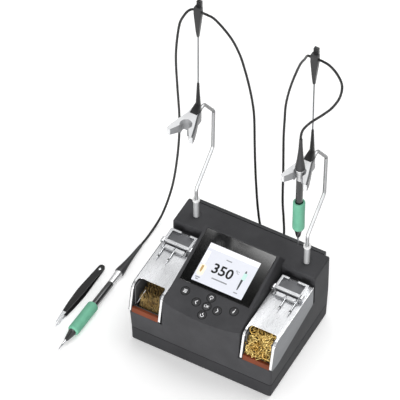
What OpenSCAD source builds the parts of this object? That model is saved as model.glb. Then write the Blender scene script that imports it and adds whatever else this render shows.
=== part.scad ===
// Two-tool soldering station: housing with tilted display console, two tool trays,
// two swivelling cord arms with holders, two pencil handpieces and a pair of tweezers.
// Millimetres, +Z up, +Y to the rear. The origin is on the table, under the middle of the housing.

/* [Housing] */
// Width of the housing at the height of the trays
body_w = 201.6; // [190:0.2:220]
// Width of the base at its lower edge
base_w = 198; // [186:0.2:202]
// Depth of the housing
body_d = 153.4; // [150:0.2:170]
// Height of the rear block above the table
block_h = 113.6; // [110:0.2:120]
// Depth of the rear block, front to back
block_d = 40.6; // [38:0.2:43]
// Height of the parting line between base and cover
seam_z = 24; // [20:0.5:28]
// Wall of the mouldings
wall = 2.6; // [2:0.1:3]
// Radius of the vertical corners
corner_r = 3.4; // [3:0.2:6]
// Radius of the top edges of the rear block
edge_r = 3.4; // [2:0.2:6]
// Height of the rubber feet below the base
foot_h = 1.4; // [1.2:0.1:4]
// Diameter of the rubber feet
foot_d = 15; // [12:0.5:18]

/* [Console] */
// Width of the console at the level of the trays
console_w = 109; // [107:0.2:112]
// Width of the console along its top edge
console_top_w = 104.6; // [103:0.2:106]
// Tilt of the console face
face_tilt = 16.5; // [14:0.5:18]
// Height of the face plane over the middle of the housing
face_z = 122.6; // [121:0.2:126]
// How far the lower edge of the face stands in front of the base
nose = 4.9; // [3:0.1:6]
// Depth of the smile-shaped arc of the lower edge
nose_sag = 8.9; // [5:0.1:11]

/* [Display] */
// Width of the display window
window_w = 97.6; // [94:0.2:98.4]
// Height of the display window along the slope
window_h = 76; // [72:0.5:77]
// Thickness of the display window
window_t = 1.5; // [1:0.1:2]
// Width of the liquid crystal panel's picture
lcd_w = 70.1; // [60:0.1:76]
// Height of the liquid crystal panel's picture
lcd_h = 52.6; // [45:0.1:56]

/* [Buttons] */
// Diameter of the round buttons
button_d = 11; // [9:0.1:11.4]
// Distance between the buttons across the console
button_dx = 14.7; // [13.5:0.1:16]
// Distance between the button rows along the slope
button_dv = 12.5; // [12.3:0.1:13]
// Distance of the two outer buttons from the middle
button_outer_x = 34.3; // [31:0.1:38]
// Travel of a button
button_travel = 0.8; // [0.5:0.1:1]

/* [Trays] */
// Height of the steel trays
tray_z = 100; // [97:0.5:102]
// Black gap between the console and each tray
tray_gap = 1.8; // [0.5:0.1:3]
// Thickness of the steel sheet
sheet = 1.2; // [0.8:0.1:1.5]
// Width of the two legs beside the front opening
leg_w = 3; // [2.5:0.1:4]
// Radius of the bend at the front of the tray
bend_r = 10; // [6:0.5:12]
// Distance from the front bend to the rear edge of the opening
mouth_back = 14.6; // [10:0.2:20]
// Height of the silicone wiping strip
wiper_h = 7.5; // [5:0.1:8]
// Depth of the rack for the parked cartridges
rack_d = 29.4; // [26:0.2:31]
// Height of the rack for the parked cartridges
rack_h = 9; // [8:0.2:12]

/* [Cord arms] */
// Distance of the cord arms from the middle plane
arm_x = 78.4; // [74:0.2:80]
// Distance of the cord arms behind the middle of the housing
arm_y = 56; // [55:0.2:60]
// Diameter of the bent rod
arm_d = 4.5; // [3.5:0.1:5]
// Height of the sleeve above the block
sleeve_h = 32; // [25:0.5:40]
// Outer diameter of the sleeve
sleeve_d = 7.6; // [7:0.1:9]
// Height of the holder fork's top above the table
fork_z = 314; // [300:1:330]
// Thickness of the holder fork
fork_t = 13; // [10:0.5:15]
// Distance of the fork's seat in front of the arm's foot
fork_reach = 26; // [24:0.5:30]
// Diameter of the fork's seat
seat_d = 10; // [9.6:0.1:10.4]
// Length of the spring-steel guide rod
guide_l = 84; // [70:1:100]
// Diameter of the guide rod
guide_d = 1.7; // [1.4:0.1:2]
// Length of the cord clip on top of the guide rod
clip_l = 60; // [50:1:70]

/* [Handpieces] */
// Length of the cartridge outside the handle
cartridge_l = 17.6; // [12:0.2:22]
// Length of the tapered nose
nose_cone_l = 16; // [12:0.5:18]
// Length of the soft grip
grip_l = 50.6; // [48:0.2:60]
// Diameter of the soft grip
grip_d = 15.3; // [14:0.1:16]
// Length of the bare handle behind the grip
handle_l = 41.4; // [36:0.2:44]
// Diameter of the handle
handle_d = 8.9; // [8:0.1:9.2]
// Length of the metal collar
collar_l = 20.6; // [18:0.2:24]
// Large diameter of the metal collar
collar_d = 11; // [10.6:0.1:11.4]
// Length of the cord relief
relief_l = 54; // [45:0.5:60]
// Large diameter of the cord relief
relief_d = 12.5; // [12.2:0.1:13]
// Diameter of the tool cords
cord_d = 3.1; // [2.8:0.1:3.6]

/* [Tweezers] */
// Length of the tweezers
tweezer_l = 111; // [100:1:125]
// Width of a tweezer arm
tweezer_w = 10; // [8:0.2:11]
// Thickness of a tweezer arm
tweezer_t = 1.4; // [1:0.1:1.6]
// Opening between the tips
tweezer_gap = 6; // [4:0.2:7]

/* [Hidden] */

$fn = 48;
// Clearance between pieces that are only set beside each other
fit = 0.3;
// Radial clearance of the bent rod in its sleeve
run = 0.05;
// Length that cuts run past a face
past = 1;

half_w = body_w / 2;
front_y = -body_d / 2;
rear_y = body_d / 2;
// The sides lean out up to this height, and the front wall leans forward up to it
flare_z = 54;
front_lean = 1.9;
inner_w = base_w / 2 - wall;
block_y = rear_y - block_d;
inner_x = console_w / 2;
floor_z = foot_h + wall;
transformer_r = body_d * 0.235;
transformer_h = seam_z + 8;
transformer_x = -10;
transformer_y = 2;
post_r = 5;

// Face frame: its origin lies on the face, just below the display
face_y = front_y + 38.1;
face_v0 = -2.7;
face_top_v = 73.3;
board_depth = 9.5;
board_t = 1.6;
switch_h = 2.8;
flange_t = 1;
button_rise = 0.3;
button_r = button_d / 2;
button_rows = [-10.3, -10.3 - button_dv, -10.3 - 2 * button_dv];
board_v0 = button_rows[2] - 4.2;
board_v1 = 71;
board_half = console_top_w / 2 - wall - 0.8;
button_places = [[-button_outer_x, -14.9], [0, button_rows[0]], [-button_dx, button_rows[1]],
    [0, button_rows[1]], [button_dx, button_rows[1]], [0, button_rows[2]],
    [button_outer_x, -14.9]];
post_places = [for (x = [-1, 1], v = [board_v0 + 14.5, board_v1 - 4]) [x * (board_half - 4.9), v]];
window_v = face_v0 + window_h / 2;
lcd_v = 28.8;
lcd_t = 4.5;
lcd_x = lcd_w / 2 + 3.2;
lcd_low = lcd_v - lcd_h / 2 - 3;
lcd_high = lcd_v + lcd_h / 2 + 4;

// Heights between which the front wall swells out into the arc
fold_z = 52;
nose_top_z = 100;

// Tray: the places are on the right-hand side, and the left side mirrors them
tray_x0 = inner_x + tray_gap;
bend_y = front_y + 6.1;
leg_foot = [front_y - 2.2, 58.5];
side_low = [[front_y + 1.2, 53], [front_y + 15.9, 51], [block_y - 3.8, 67.6]];
tray_back = block_y - 3.8;
core_x0 = tray_x0 + sheet + fit;
core_x1 = half_w - sheet - fit;
core_z = tray_z - sheet - fit;
well_wall = 2;
well_x0 = core_x0 + well_wall;
well_x1 = core_x1 - well_wall;
well_back = front_y + 52;
well_floor = 47;
sill_z = 56;
sill_y = front_y + 3.6;
mouth_y = bend_y + mouth_back;
cup_t = 1.4;
cup_top = core_z - 2;
cup_wall_z = sill_z + wiper_h - 1;
rack_x0 = tray_x0 + 4;
rack_x1 = half_w - 3.6;
rack_y = block_y - 38.9;
rack_rim = 3;
ledge_h = 5.4;
lip_y = rack_y + 6.8;
lip_d = 4.6;
rack_mid = (rack_x0 + rack_x1) / 2;
slot_pitch = (rack_x1 - rack_x0) / 2 - 4;
slot_z = tray_z + 2.6;
rod_d = 2;
rod_y = lip_y + 1;
rod_tilt = 2.6;
ear_r = 3.2;
ear_z = tray_z + rack_h - 2;

// Cord arm, in the plane x = arm_x
block_top_recess = 0.8;
sleeve_foot = block_h - 14;
sleeve_top = block_h + sleeve_h;
cap_h = 3.6;
cap_d = 9.4;
horn_y = arm_y + 5;
arm_path = [[arm_y, sleeve_foot + 4], [arm_y, 164], [arm_y + 43, 201],
    [arm_y + 44.5, fork_z - 46], [arm_y + 20, fork_z - 9.5], [horn_y + 1, fork_z - 9.5]];
arm_bend = 8;
arm_free_z = sleeve_top + 3;
seat_y = arm_y - fork_reach;
seat_drop = 1.5;
funnel_d = seat_d + 5.6;
funnel_h = 3.9;
mouth_half = funnel_d * 0.37;
// Height of the collar's upper end above the fork
hang_h = 5;
spine_drop = 6;
root_y = horn_y - seat_y - 3.2;
spine_w = 7;
hood_h = 8;
horn_r = 3.2;
horn_top = fork_z + 44;
guide_foot = horn_top - 10;
clip_z = horn_top + guide_l;
clip_hole_z = clip_z + 45;
neck_w = 9.6;

// Handpiece along its own axis, from the tip
nose_z = cartridge_l;
grip_z = nose_z + nose_cone_l;
handle_z = grip_z + grip_l;
collar_z = handle_z + handle_l;
relief_z = collar_z + collar_l;
tail_z = relief_z + relief_l;
grip_round = 3;
// The handpiece on the table leans on its grip and on the large end of its relief
lean = asin((grip_d - relief_d) / 2 / (relief_z - handle_z + grip_round));
lie_z = grip_d / 2 / cos(lean) + (handle_z - grip_round) * sin(lean) + 0.05;
lie_yaw = 1.9;
lie_tip = [-166.5, -143.5];
cord_seat = tail_z - 5.8;
// Point on the axis of the handpiece on the table
function lie_point(z) = [lie_tip.x + z * cos(lean) * sin(lie_yaw),
    lie_tip.y + z * cos(lean) * cos(lie_yaw), lie_z - z * sin(lean)];

// Tweezers, along -Y from their joined rear end
tweezer_rear = [-185.2, 4, 0];
tweezer_yaw = -3;
tweezer_bow = 3.6;
coat_l = 92;

// Rear connections
panel_w = body_w - 16.6;
panel_z0 = 26;
panel_t = 1.5;
back_y = rear_y + 5;
socket_z = 48;
socket_x = [-16, 14];
socket_r = 8;
plug_r = 6.6;
plug_l = 13.2;
plug_relief = 9;
plug_end = back_y + 2.2 + plug_l + plug_relief;
inlet_x = -panel_w / 2 + 22;
switch_x = panel_w / 2 - 38;
power_z = 52;
screw_r = 1.5;

// Routes of the two cords: plug, up behind the housing, through the clip, to the handpiece
clip_y = horn_y;
hang_z = fork_z + hang_h - relief_z;
cord_left_route = [[socket_x[0], plug_end + fit, socket_z], [-16.1, 111.6, 48.6], [-18, 117, 55.4],
    [-22, 119.6, 68], [-25, 120.6, 90], [-27, 121, 114], [-30, 122, 159], [-31, 121, 207], [-30.6, 118, 259],
    [-30.5, 114, 289], [-32.4, 108, 327], [-35.7, 101, 366], [-39, 94, 398], [-44.5, 85, 430],
    [-53, 77, 455], [-61.5, 69.5, 474.5], [-66.5, 63.4, 483.6], [-72.4, clip_y, clip_hole_z],
    [-84.4, clip_y, clip_hole_z], [-89.4, 57.6, 485.4], [-92.8, 52.4, 480], [-96.2, 47.5, 468],
    [-100.8, 48.4, 431], [-106, 55.5, 390],
    [-113, 71, 326], [-121.5, 91, 246], [-129, 104, 192], [-136.5, 112.5, 137],
    [-145, 117.5, 80], [-152, 116, 41], [-157, 108, 15], [-159.6, 96, 4.4],
    [-160.2, 84, 2.2], [-160.1, 73, 2.6], lie_point(tail_z + 4), lie_point(cord_seat)];
cord_right_route = [[socket_x[1], plug_end + fit, socket_z], [14, 111.6, 48.6], [14, 117, 55.4],
    [13.6, 119.4, 68], [12, 120.2, 93], [10, 120.5, 125], [9.6, 121, 182], [10.3, 118.8, 223],
    [11.8, 115.6, 257], [14.4, 112, 289], [18.8, 106, 328], [30, 96, 378], [46.6, 84, 434],
    [58, 75, 461], [66, 65.2, 480.4], [72.4, clip_y, clip_hole_z], [84.4, clip_y, clip_hole_z],
    [90, 59.6, 488.6], [100.7, 56, 490.5], [112.5, 52, 486], [121.3, 48, 475],
    [121, 44, 457.5], [113.6, 40, 439], [102.7, 37, 423], [95.4, 34.6, 414],
    [88, 32.2, 404.5], [81.2, 30.4, 392], [arm_x, seat_y, 380], [arm_x, seat_y, hang_z + cord_seat]];

function unit(v) = v / norm(v);

// Points of an arc that rounds the corner b of the path a, b, c
function fillet(a, b, c, r, n) =
    let (u = unit(a - b), w = unit(c - b), half = acos(u * w) / 2)
    let (m = b + unit(u + w) * r / sin(half))
    let (p = b + u * r / tan(half) - m, q = b + w * r / tan(half) - m)
    let (start = atan2(p.y, p.x), turn = (atan2(q.y, q.x) - start + 540) % 360 - 180)
    [for (i = [0:n]) m + r * [cos(start + turn * i / n), sin(start + turn * i / n)]];

// A polygon's corners, each given as [x, y, radius]
function rounded(corners, n = 6) =
    let (k = len(corners))
    [for (i = [0:k - 1])
        let (a = corners[(i + k - 1) % k], b = corners[i], c = corners[(i + 1) % k])
        each (b.z > 0 ? fillet([a.x, a.y], [b.x, b.y], [c.x, c.y], b.z, n) : [[b.x, b.y]])];

function box_corners(x0, y0, x1, y1, r) = [[x0, y0, r], [x1, y0, r], [x1, y1, r], [x0, y1, r]];

// A profile in the Y-Z plane, drawn out along X
module side_prism(points, x0, x1)
    translate([x0, 0, 0]) rotate([90, 0, 90]) linear_extrude(x1 - x0) polygon(points);

// A profile in the X-Z plane, drawn out along Y
module front_prism(points, y0, y1)
    translate([0, y1, 0]) rotate([90, 0, 0]) linear_extrude(y1 - y0) polygon(points);

module plan_prism(points, z0, z1)
    translate([0, 0, z0]) linear_extrude(z1 - z0) polygon([for (p = points) [p.x, p.y]]);

module cylinder_y(r, y0, y1) translate([0, y0, 0]) rotate([-90, 0, 0]) cylinder(r = r, h = y1 - y0);

module block_box(x0, y0, z0, x1, y1, z1) translate([x0, y0, z0]) cube([x1 - x0, y1 - y0, z1 - z0]);

module mirrored(side) { if (side > 0) children(); else mirror([1, 0, 0]) children(); }

// Moves to the console face: x across, v up the slope, height along its normal
module on_face(place = [0, 0], height = 0)
    translate([0, face_y, face_z + face_y * tan(face_tilt)]) rotate([face_tilt, 0, 0])
        translate([place.x, place.y, height]) children();

// Moves to the hanging place of the right handpiece, tip downwards
module at_holder() translate([arm_x, seat_y, hang_z]) children();

// Moves to the place of the left handpiece, lying on the table with its cord to the rear
module at_table() translate([lie_tip.x, lie_tip.y, lie_z])
    rotate([0, 0, -lie_yaw]) rotate([-90 - lean, 0, 0]) children();

module at_tweezers() translate(tweezer_rear) rotate([0, 0, tweezer_yaw]) children();

// Housing

// Outline of the housing: half width and front edge at a height
function side_at(z) = half_w
    - max(0, flare_z - z) / (flare_z - foot_h) * (body_w - base_w) / 2;
function front_at(z) = front_y - front_lean * max(0, min(z, flare_z) - seam_z) / (flare_z - seam_z);

module outline_slice(z) plan_prism(rounded(box_corners(-side_at(z), front_at(z), side_at(z),
    rear_y, corner_r)), z, z + 0.01);

// Leaning walls between two heights
module skirt(z0, z1) hull() {
    outline_slice(z0);
    outline_slice(z1 - 0.01);
}

module hollow_outline(z0, z1)
    plan_prism(rounded(box_corners(-inner_w, front_y + wall, inner_w, rear_y - wall,
        corner_r - wall / 2)), z0, z1);

// Rear block, which rounds its top edges
module block_form(inset, z0) {
    top = block_h - inset;
    w = inset > 0 ? inner_w : half_w;
    intersection() {
        plan_prism(rounded(box_corners(-w, front_y, w, rear_y - inset, corner_r - inset / 2)),
            z0, block_h);
        front_prism(rounded([[-w, z0, 0], [w, z0, 0], [w, top, edge_r], [-w, top, edge_r]]),
            block_y, rear_y);
        side_prism(rounded([[block_y + inset, z0, 0], [rear_y - inset, z0, 0],
            [rear_y - inset, top, edge_r / 2], [block_y + inset, top, edge_r / 2]]),
            -half_w, half_w);
    }
}

function face_height(y) = face_z + y * tan(face_tilt);

// Plan of the console at its lower edge: an arc that is deepest in the middle
function nose_plan(inset) =
    let (w = inner_x - inset, r = (w * w + nose_sag * nose_sag) / 2 / nose_sag)
    let (reach = asin(w / r), top = front_y - nose + inset)
    [each [for (i = [-10:10]) [r * sin(reach * i / 10), top + r - r * cos(reach * i / 10)]],
        [w, block_y], [-w, block_y]];

module console_form(inset) {
    low = inner_x - inset;
    high = console_top_w / 2 - inset;
    crest_y = face_y + face_top_v * cos(face_tilt) + 1.6;
    crest_z = face_height(crest_y);
    top = crest_z + past;
    intersection() {
        front_prism([[-low, seam_z], [low, seam_z], [low, tray_z - 2], [high, top],
            [-high, top], [-low, tray_z - 2]], front_y - nose - past, rear_y - inset);
        side_prism([[front_y - nose - past, seam_z], [block_y + 10 + inset, seam_z],
            [block_y + 10 - inset, block_h - inset],
            [crest_y - inset, face_height(crest_y - inset) - inset / cos(face_tilt)],
            [front_y - nose - past,
                face_height(front_y - nose - past) - inset / cos(face_tilt)]],
            -half_w, half_w);
        union() {
            side_prism([[front_y + inset, seam_z], [block_y + 20, seam_z], [block_y + 20, top],
                [sill_y + 2 * inset, top], [sill_y + 2 * inset, fold_z],
                [front_at(fold_z) + inset, fold_z]], -low, low);
            hull() {
                plan_prism([[-low, front_at(fold_z) + inset], [low, front_at(fold_z) + inset],
                    [low, block_y], [-low, block_y]], fold_z, fold_z + 0.1);
                plan_prism(nose_plan(inset), nose_top_z, top + past);
            }
            block_box(-low, block_y - past, fold_z, low, block_y + 20, top);
        }
    }
}

// One side wing of the housing, under a tray
module flank_form() {
    side_prism([[front_y - 5, seam_z], [block_y + past, seam_z],
        [block_y + past, side_low[2].y - fit], [side_low[2].x, side_low[2].y - fit],
        [side_low[1].x, side_low[1].y - fit], [side_low[0].x, side_low[0].y - fit],
        [leg_foot.x + 0.3, sill_z], [front_y - 5, sill_z]], inner_x - past, half_w);
    side_prism([[front_y - 5, 40], [sill_y, 40], [sill_y, sill_z], [front_y - 5, sill_z]],
        tray_x0 + leg_w + fit, half_w - leg_w - fit);
    side_prism(tray_inside(), core_x0, core_x1);
}

// Inner outline of the tray cover's sheet, with the clearance to the housing
function tray_inside() =
    let (slope = (leg_foot.x - bend_y) / (tray_z - leg_foot.y))
    let (gap = sheet + fit)
    rounded([[block_y + past, 45, 0], [block_y + past, core_z, 0],
        [bend_y + slope * gap + gap, core_z, bend_r - gap],
        [leg_foot.x + gap + 0.2, sill_z, 0], [sill_y, 45, 0]]);

module well_cut() {
    side_prism([[front_y - 20, sill_z], [front_y - 20, tray_z], [well_back, tray_z],
        [well_back, well_floor], [sill_y, well_floor], [sill_y, sill_z]], well_x0, well_x1);
}

// Screw boss with a rib to the side wall
module boss(p, z0, z1, hole) difference() {
    union() {
        translate([p.x, p.y, z0]) cylinder(r = 4.5, h = z1 - z0);
        mirrored(p.x) block_box(abs(p.x), p.y - 1.5, z0, inner_w + 0.2, p.y + 1.5, z1);
    }
    translate([p.x, p.y, z0 - past]) cylinder(r = hole, h = z1 - z0 - (z0 < seam_z ? -5 : 2));
}

module base() color("#3f3f41") {
    difference() {
        skirt(foot_h, seam_z - 0.1);
        hollow_outline(floor_z, seam_z + past);
        // Rebate that makes the shadow line of the seam
        difference() {
            plan_prism(box_corners(-half_w - past, front_y - past, half_w + past, rear_y + past, 0),
                seam_z - 0.8, seam_z);
            plan_prism(rounded(box_corners(-side_at(seam_z) + 0.7, front_y + 0.7,
                side_at(seam_z) - 0.7, rear_y - 0.7, corner_r - 0.7)), seam_z - past, seam_z + past);
        }
        for (p = foot_places()) translate([p.x, p.y, foot_h - past])
            cylinder(d = foot_d, h = past + 1);
        for (p = boss_places()) translate([p.x, p.y, foot_h - past])
            cylinder(r = screw_r + 0.2, h = seam_z);
        for (p = boss_places()) translate([p.x, p.y, foot_h - past])
            cylinder(r = 3.2, h = past + 1.6);
        for (i = [-6:6]) translate([i * 7, -body_d * 0.3, foot_h - past])
            block_box(-1.5, -15, 0, 1.5, 15, wall + 2 * past);
    }
    for (p = boss_places()) boss(p, floor_z - 0.1, seam_z - 0.2, screw_r + 0.2);
    translate([transformer_x, transformer_y, floor_z - 0.1])
        cylinder(r = post_r, h = transformer_h + 4);
}

function foot_places() = [for (x = [-1, 1], y = [-1, 1]) [x * (half_w - 18), y * (rear_y - 18)]];
function boss_places() = [for (x = [-1, 1], y = [-1, 1]) [x * (half_w - 9), y * (rear_y - 32)]];

module upper_housing() color("#454547") {
    difference() {
        union() {
            console_form(0);
            intersection() {
                union() {
                    block_form(0, seam_z);
                    for (side = [-1, 1]) mirrored(side) flank_form();
                }
                union() {
                    skirt(seam_z, flare_z);
                    plan_prism(rounded(box_corners(-half_w, front_at(flare_z), half_w, rear_y,
                        corner_r)), flare_z - 0.01, block_h + past);
                }
            }
        }
        // Hollow inside: block, console, and the space below each well
        block_form(wall, seam_z - past);
        intersection() {
            console_form(wall);
            block_box(-half_w, front_y, seam_z - past, half_w, block_y + 30, block_h + 40);
        }
        block_box(-inner_x + wall, front_y + 2 * wall, seam_z - past, inner_x - wall,
            block_y + 2 * wall, seam_z + 10);
        for (side = [-1, 1]) mirrored(side) {
            block_box(inner_x - wall - past, front_y + wall, seam_z - past, inner_w,
                block_y + 2 * wall, well_floor - wall - 5);
            block_box(core_x0 + wall, well_back + wall, seam_z, core_x1 - wall, block_y + 2 * wall,
                core_z - wall);
            block_box(inner_x - wall - past, well_back + wall, seam_z - past, core_x0 + wall + past,
                block_y + past, 45);
            well_cut();
        }
        // Display: window recess and the hole for the panel behind it
        on_face([-window_w / 2 - fit, window_v - window_h / 2 - fit], -window_t - 0.1)
            cube([window_w + 2 * fit, window_h + 2 * fit, 10]);
        on_face([-lcd_x - 0.5, lcd_low - 0.5], -wall - 10)
            cube([2 * lcd_x + 1, lcd_high - lcd_low + 1, 20]);
        for (p = button_places) {
            on_face(p, -wall - past) cylinder(r = button_r + fit, h = wall + 2 * past + 2);
            // Room for the flange of the key that lies nearest to the front wall
            on_face(p, -wall - past - flange_t - button_travel)
                cylinder(r = button_r + 0.95, h = past + flange_t + button_travel);
        }
        // Seats of the cord arm sleeves
        for (side = [-1, 1]) translate([side * arm_x, arm_y, 0]) {
            translate([0, 0, block_h - block_top_recess]) cylinder(r = 7.2, h = 10);
            translate([0, 0, sleeve_foot - past]) cylinder(d = sleeve_d + 0.1, h = 40);
        }
        // Rear opening behind the panel, and the holes of the panel's screws
        block_box(-panel_w / 2 + 7, rear_y - wall - past, panel_z0 + 9, panel_w / 2 - 7,
            rear_y + past, block_h - 14);
        for (p = panel_screws()) translate([p.x, 0, p.y])
            cylinder_y(screw_r + 0.02, rear_y - wall - past, rear_y + past);
    }
    // Posts that carry the control board
    for (p = post_places) on_face(p, -board_depth) cylinder(r = 3, h = board_depth - wall + 0.2);
    // Sleeve bosses under the block's top
    for (side = [-1, 1]) translate([side * arm_x, arm_y, sleeve_foot]) difference() {
        cylinder(r = 7, h = block_h - wall - sleeve_foot + 0.2);
        translate([0, 0, -past]) cylinder(d = sleeve_d + 0.1, h = 40);
    }
    for (p = boss_places()) boss(p, seam_z, seam_z + 14, screw_r);
}

// Folded sheet pan on the rear wall, whose top is level with the block
module rear_panel() color("#38393b") difference() {
    plan_prism(box_corners(-panel_w / 2, rear_y + 0.05, panel_w / 2, back_y, 0), panel_z0, block_h);
    block_box(-panel_w / 2 + panel_t, rear_y - past, panel_z0 + panel_t, panel_w / 2 - panel_t,
        back_y - panel_t, block_h - panel_t);
    for (x = socket_x) translate([x, 0, socket_z]) cylinder_y(socket_r - 2, rear_y, back_y + 5);
    block_box(inlet_x - 13.7, rear_y, power_z - 10, inlet_x + 13.7, back_y + 5, power_z + 10);
    block_box(switch_x - 9.7, rear_y, power_z - 6.6, switch_x + 9.7, back_y + 5, power_z + 6.6);
    for (p = panel_screws()) translate([p.x, 0, p.y]) cylinder_y(screw_r + 0.1, rear_y, back_y + 5);
    for (x = [-30:6:30]) block_box(x - 1.2, rear_y, 76, x + 1.2, back_y + 5, 92);
}

function panel_screws() = [for (x = [-1, 1], z = [panel_z0 + 5, block_h - 7])
    [x * (panel_w / 2 - 3.6), z]];

module display_window() color("#08090a")
    on_face([-window_w / 2, window_v - window_h / 2], -window_t)
        linear_extrude(window_t) polygon(rounded(box_corners(0, 0, window_w, window_h, 1.5)));

module lcd_panel() color("#e4e6ec")
    on_face([-lcd_x, lcd_low], -window_t - lcd_t - 0.05)
        cube([2 * lcd_x, lcd_high - lcd_low, lcd_t]);

module control_board() color("#2d6a45") {
    on_face([0, 0], -board_depth - board_t) linear_extrude(board_t)
        polygon([[-board_half, board_v1], [-board_half, board_v0 + 12], [-board_half + 9, board_v0],
            [board_half - 9, board_v0], [board_half, board_v0 + 12], [board_half, board_v1]]);
    for (p = button_places) on_face([p.x - 3, p.y - 3], -board_depth - 0.05) cube([6, 6, switch_h]);
}

module transformer() color("#b0672c") translate([transformer_x, transformer_y, floor_z + 0.05])
    rotate_extrude() polygon(rounded([[post_r + 0.3, 0, 0], [transformer_r, 0, 6],
        [transformer_r, transformer_h, 6], [post_r + 0.3, transformer_h, 3]]));

module feet() color("#1c1c1d") for (p = foot_places()) translate([p.x, p.y, 0])
    rotate_extrude() polygon([[0, 0], [foot_d / 2 - 1, 0], [foot_d / 2 - 0.1, 1],
        [foot_d / 2 - 0.1, foot_h + 0.9], [0, foot_h + 0.9]]);

module case_screws() color("#8f9093") {
    for (p = boss_places()) translate([p.x, p.y, foot_h + 0.1]) {
        cylinder(r = 2.9, h = 1.4);
        cylinder(r = screw_r - 0.02, h = seam_z + 6);
    }
    for (p = panel_screws()) translate([p.x, 0, p.y]) {
        cylinder_y(2.8, back_y + 0.05, back_y + 1.8);
        cylinder_y(screw_r - 0.02, rear_y - 5, back_y + 1);
    }
}

module mains_inlet() color("#19191a") translate([inlet_x, back_y, power_z]) difference() {
    union() {
        block_box(-15.5, 0.05, -12, 15.5, 2.4, 12);
        block_box(-13.5, -22, -9.8, 13.5, 1, 9.8);
    }
    front_prism(rounded([[-12, -8.2, 1], [12, -8.2, 1], [12, 4.5, 3.5], [8.5, 8.2, 1],
        [-8.5, 8.2, 1], [-12, 4.5, 3.5]], 3), -16, 5);
    for (x = [-7, 0, 7]) block_box(x - 1.1, -21, (x == 0 ? 1 : -4), x + 1.1, -10, (x == 0 ? 5 : 0));
}

module switch_frame() color("#141415") translate([switch_x, back_y, power_z]) difference() {
    union() {
        block_box(-11, 0.05, -8, 11, 2, 8);
        block_box(-9.5, -18, -6.4, 9.5, 1, 6.4);
    }
    block_box(-7.6, -8, -4.8, 7.6, 5, 4.8);
}

// Rocker: its two faces slope to the middle, and it turns about a pin across its middle
module power_switch() color("#202021") translate([switch_x, back_y, power_z])
    plan_prism(rounded([[-7, -2.4, 1], [7, -2.4, 1], [7, 3.4, 0.6], [0, 1.5, 0], [-7, 2.2, 0.6]], 3),
        -4.4, 4.4);

module tool_sockets() color("#2a2a2c") for (x = socket_x) translate([x, 0, socket_z]) {
    difference() {
        union() {
            cylinder_y(socket_r, back_y + 0.05, back_y + 2.2);
            cylinder_y(socket_r - 2.1, back_y - 12, back_y + 1);
        }
        cylinder_y(4.6, back_y - 9, back_y + 5);
    }
}

// Buttons: a cap in the face, a flange behind it and a stem to the switch

module button(i) color("#3c3c3e") difference() {
    union() {
        on_face(button_places[i], -wall - 0.3) cylinder(r = button_r, h = wall + 0.3 + button_rise);
        on_face(button_places[i], -wall - 0.1 - flange_t) cylinder(r = button_r + 0.55, h = flange_t);
        on_face(button_places[i], -board_depth + switch_h + button_travel + 0.1)
            cylinder(r = 1.8, h = board_depth - switch_h - button_travel - wall - 0.5);
    }
    // Shallow dish for the fingertip
    on_face(button_places[i], button_rise + 29.5) sphere(r = 30, $fn = 96);
}

module button_menu() button(0);
module button_up() button(1);
module button_left() button(2);
module button_ok() button(3);
module button_right() button(4);
module button_down() button(5);
module button_info() button(6);

// Trays

function tray_outline() = rounded([[tray_back, tray_z, 0], [bend_y, tray_z, bend_r],
    [leg_foot.x, leg_foot.y, 0], [side_low[0].x, side_low[0].y, 0],
    [side_low[1].x, side_low[1].y, 0], [side_low[2].x, side_low[2].y, 0]]);

function tray_hollow() =
    let (slope = (leg_foot.x - bend_y) / (tray_z - leg_foot.y))
    rounded([[tray_back + past, tray_z - sheet, 0],
        [bend_y + slope * sheet + sheet * 1.02, tray_z - sheet, bend_r - sheet],
        [leg_foot.x + slope * past + sheet * 1.02, leg_foot.y - past, 0],
        [front_y, 40, 0], [tray_back + past, 40, 0]]);

module tray_cover() difference() {
    side_prism(tray_outline(), tray_x0, half_w);
    side_prism(tray_hollow(), tray_x0 + sheet, half_w - sheet);
    // The opening: cut from above behind the bend, and from the front below it
    plan_prism(rounded([[tray_x0 + leg_w, front_y - 20, 0], [half_w - leg_w, front_y - 20, 0],
        [half_w - leg_w, mouth_y, 5], [tray_x0 + leg_w, mouth_y, 5]]), 40, tray_z + past);
}

module tray_cover_left() color("#d9dadb") mirrored(-1) tray_cover();
module tray_cover_right() color("#d9dadb") mirrored(1) tray_cover();

module wiper() side_prism([[leg_foot.x + 0.5, sill_z + 0.02], [sill_y, sill_z + 0.02],
    [sill_y - 0.6, sill_z + wiper_h], [leg_foot.x + 1.5, sill_z + wiper_h]],
    well_x0 + 0.05, well_x1 - 0.05);

module wiper_left() color("#8a4b33") mirrored(-1) wiper();
module wiper_right() color("#8a4b33") mirrored(1) wiper();

// Cup that drops into the well, low in front so that the tip reaches in over the wiper
module cup() {
    y0 = sill_y + fit;
    y1 = well_back - fit;
    difference() {
        block_box(well_x0 + fit, y0, well_floor + 0.1, well_x1 - fit, y1, cup_top);
        block_box(well_x0 + fit + cup_t, y0 + cup_t, well_floor + cup_t, well_x1 - fit - cup_t,
            y1 - cup_t, cup_top + past);
        block_box(well_x0, y0 - past, cup_wall_z, well_x1, y0 + 2 * cup_t, cup_top + past);
    }
}

module cup_left() color("#5b5c5e") mirrored(-1) cup();
module cup_right() color("#5b5c5e") mirrored(1) cup();

cup_in = [well_x0 + fit + cup_t + fit, well_x1 - fit - cup_t - fit];

module brass_brush() color("#8d7a3a") mirrored(-1) {
    block_box(cup_in.x, sill_y + 3, well_floor + cup_t + 0.1, cup_in.y - 4, well_back - 6, sill_z);
    side_prism(rounded([[sill_y + 3.6, sill_z - 0.1, 0], [well_back - 6.6, sill_z - 0.1, 0],
        [well_back - 6.6, cup_top - 9, 2], [sill_y + 6, cup_top - 14, 3]]),
        cup_in.x + 0.6, cup_in.y - 4.6);
}

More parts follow.
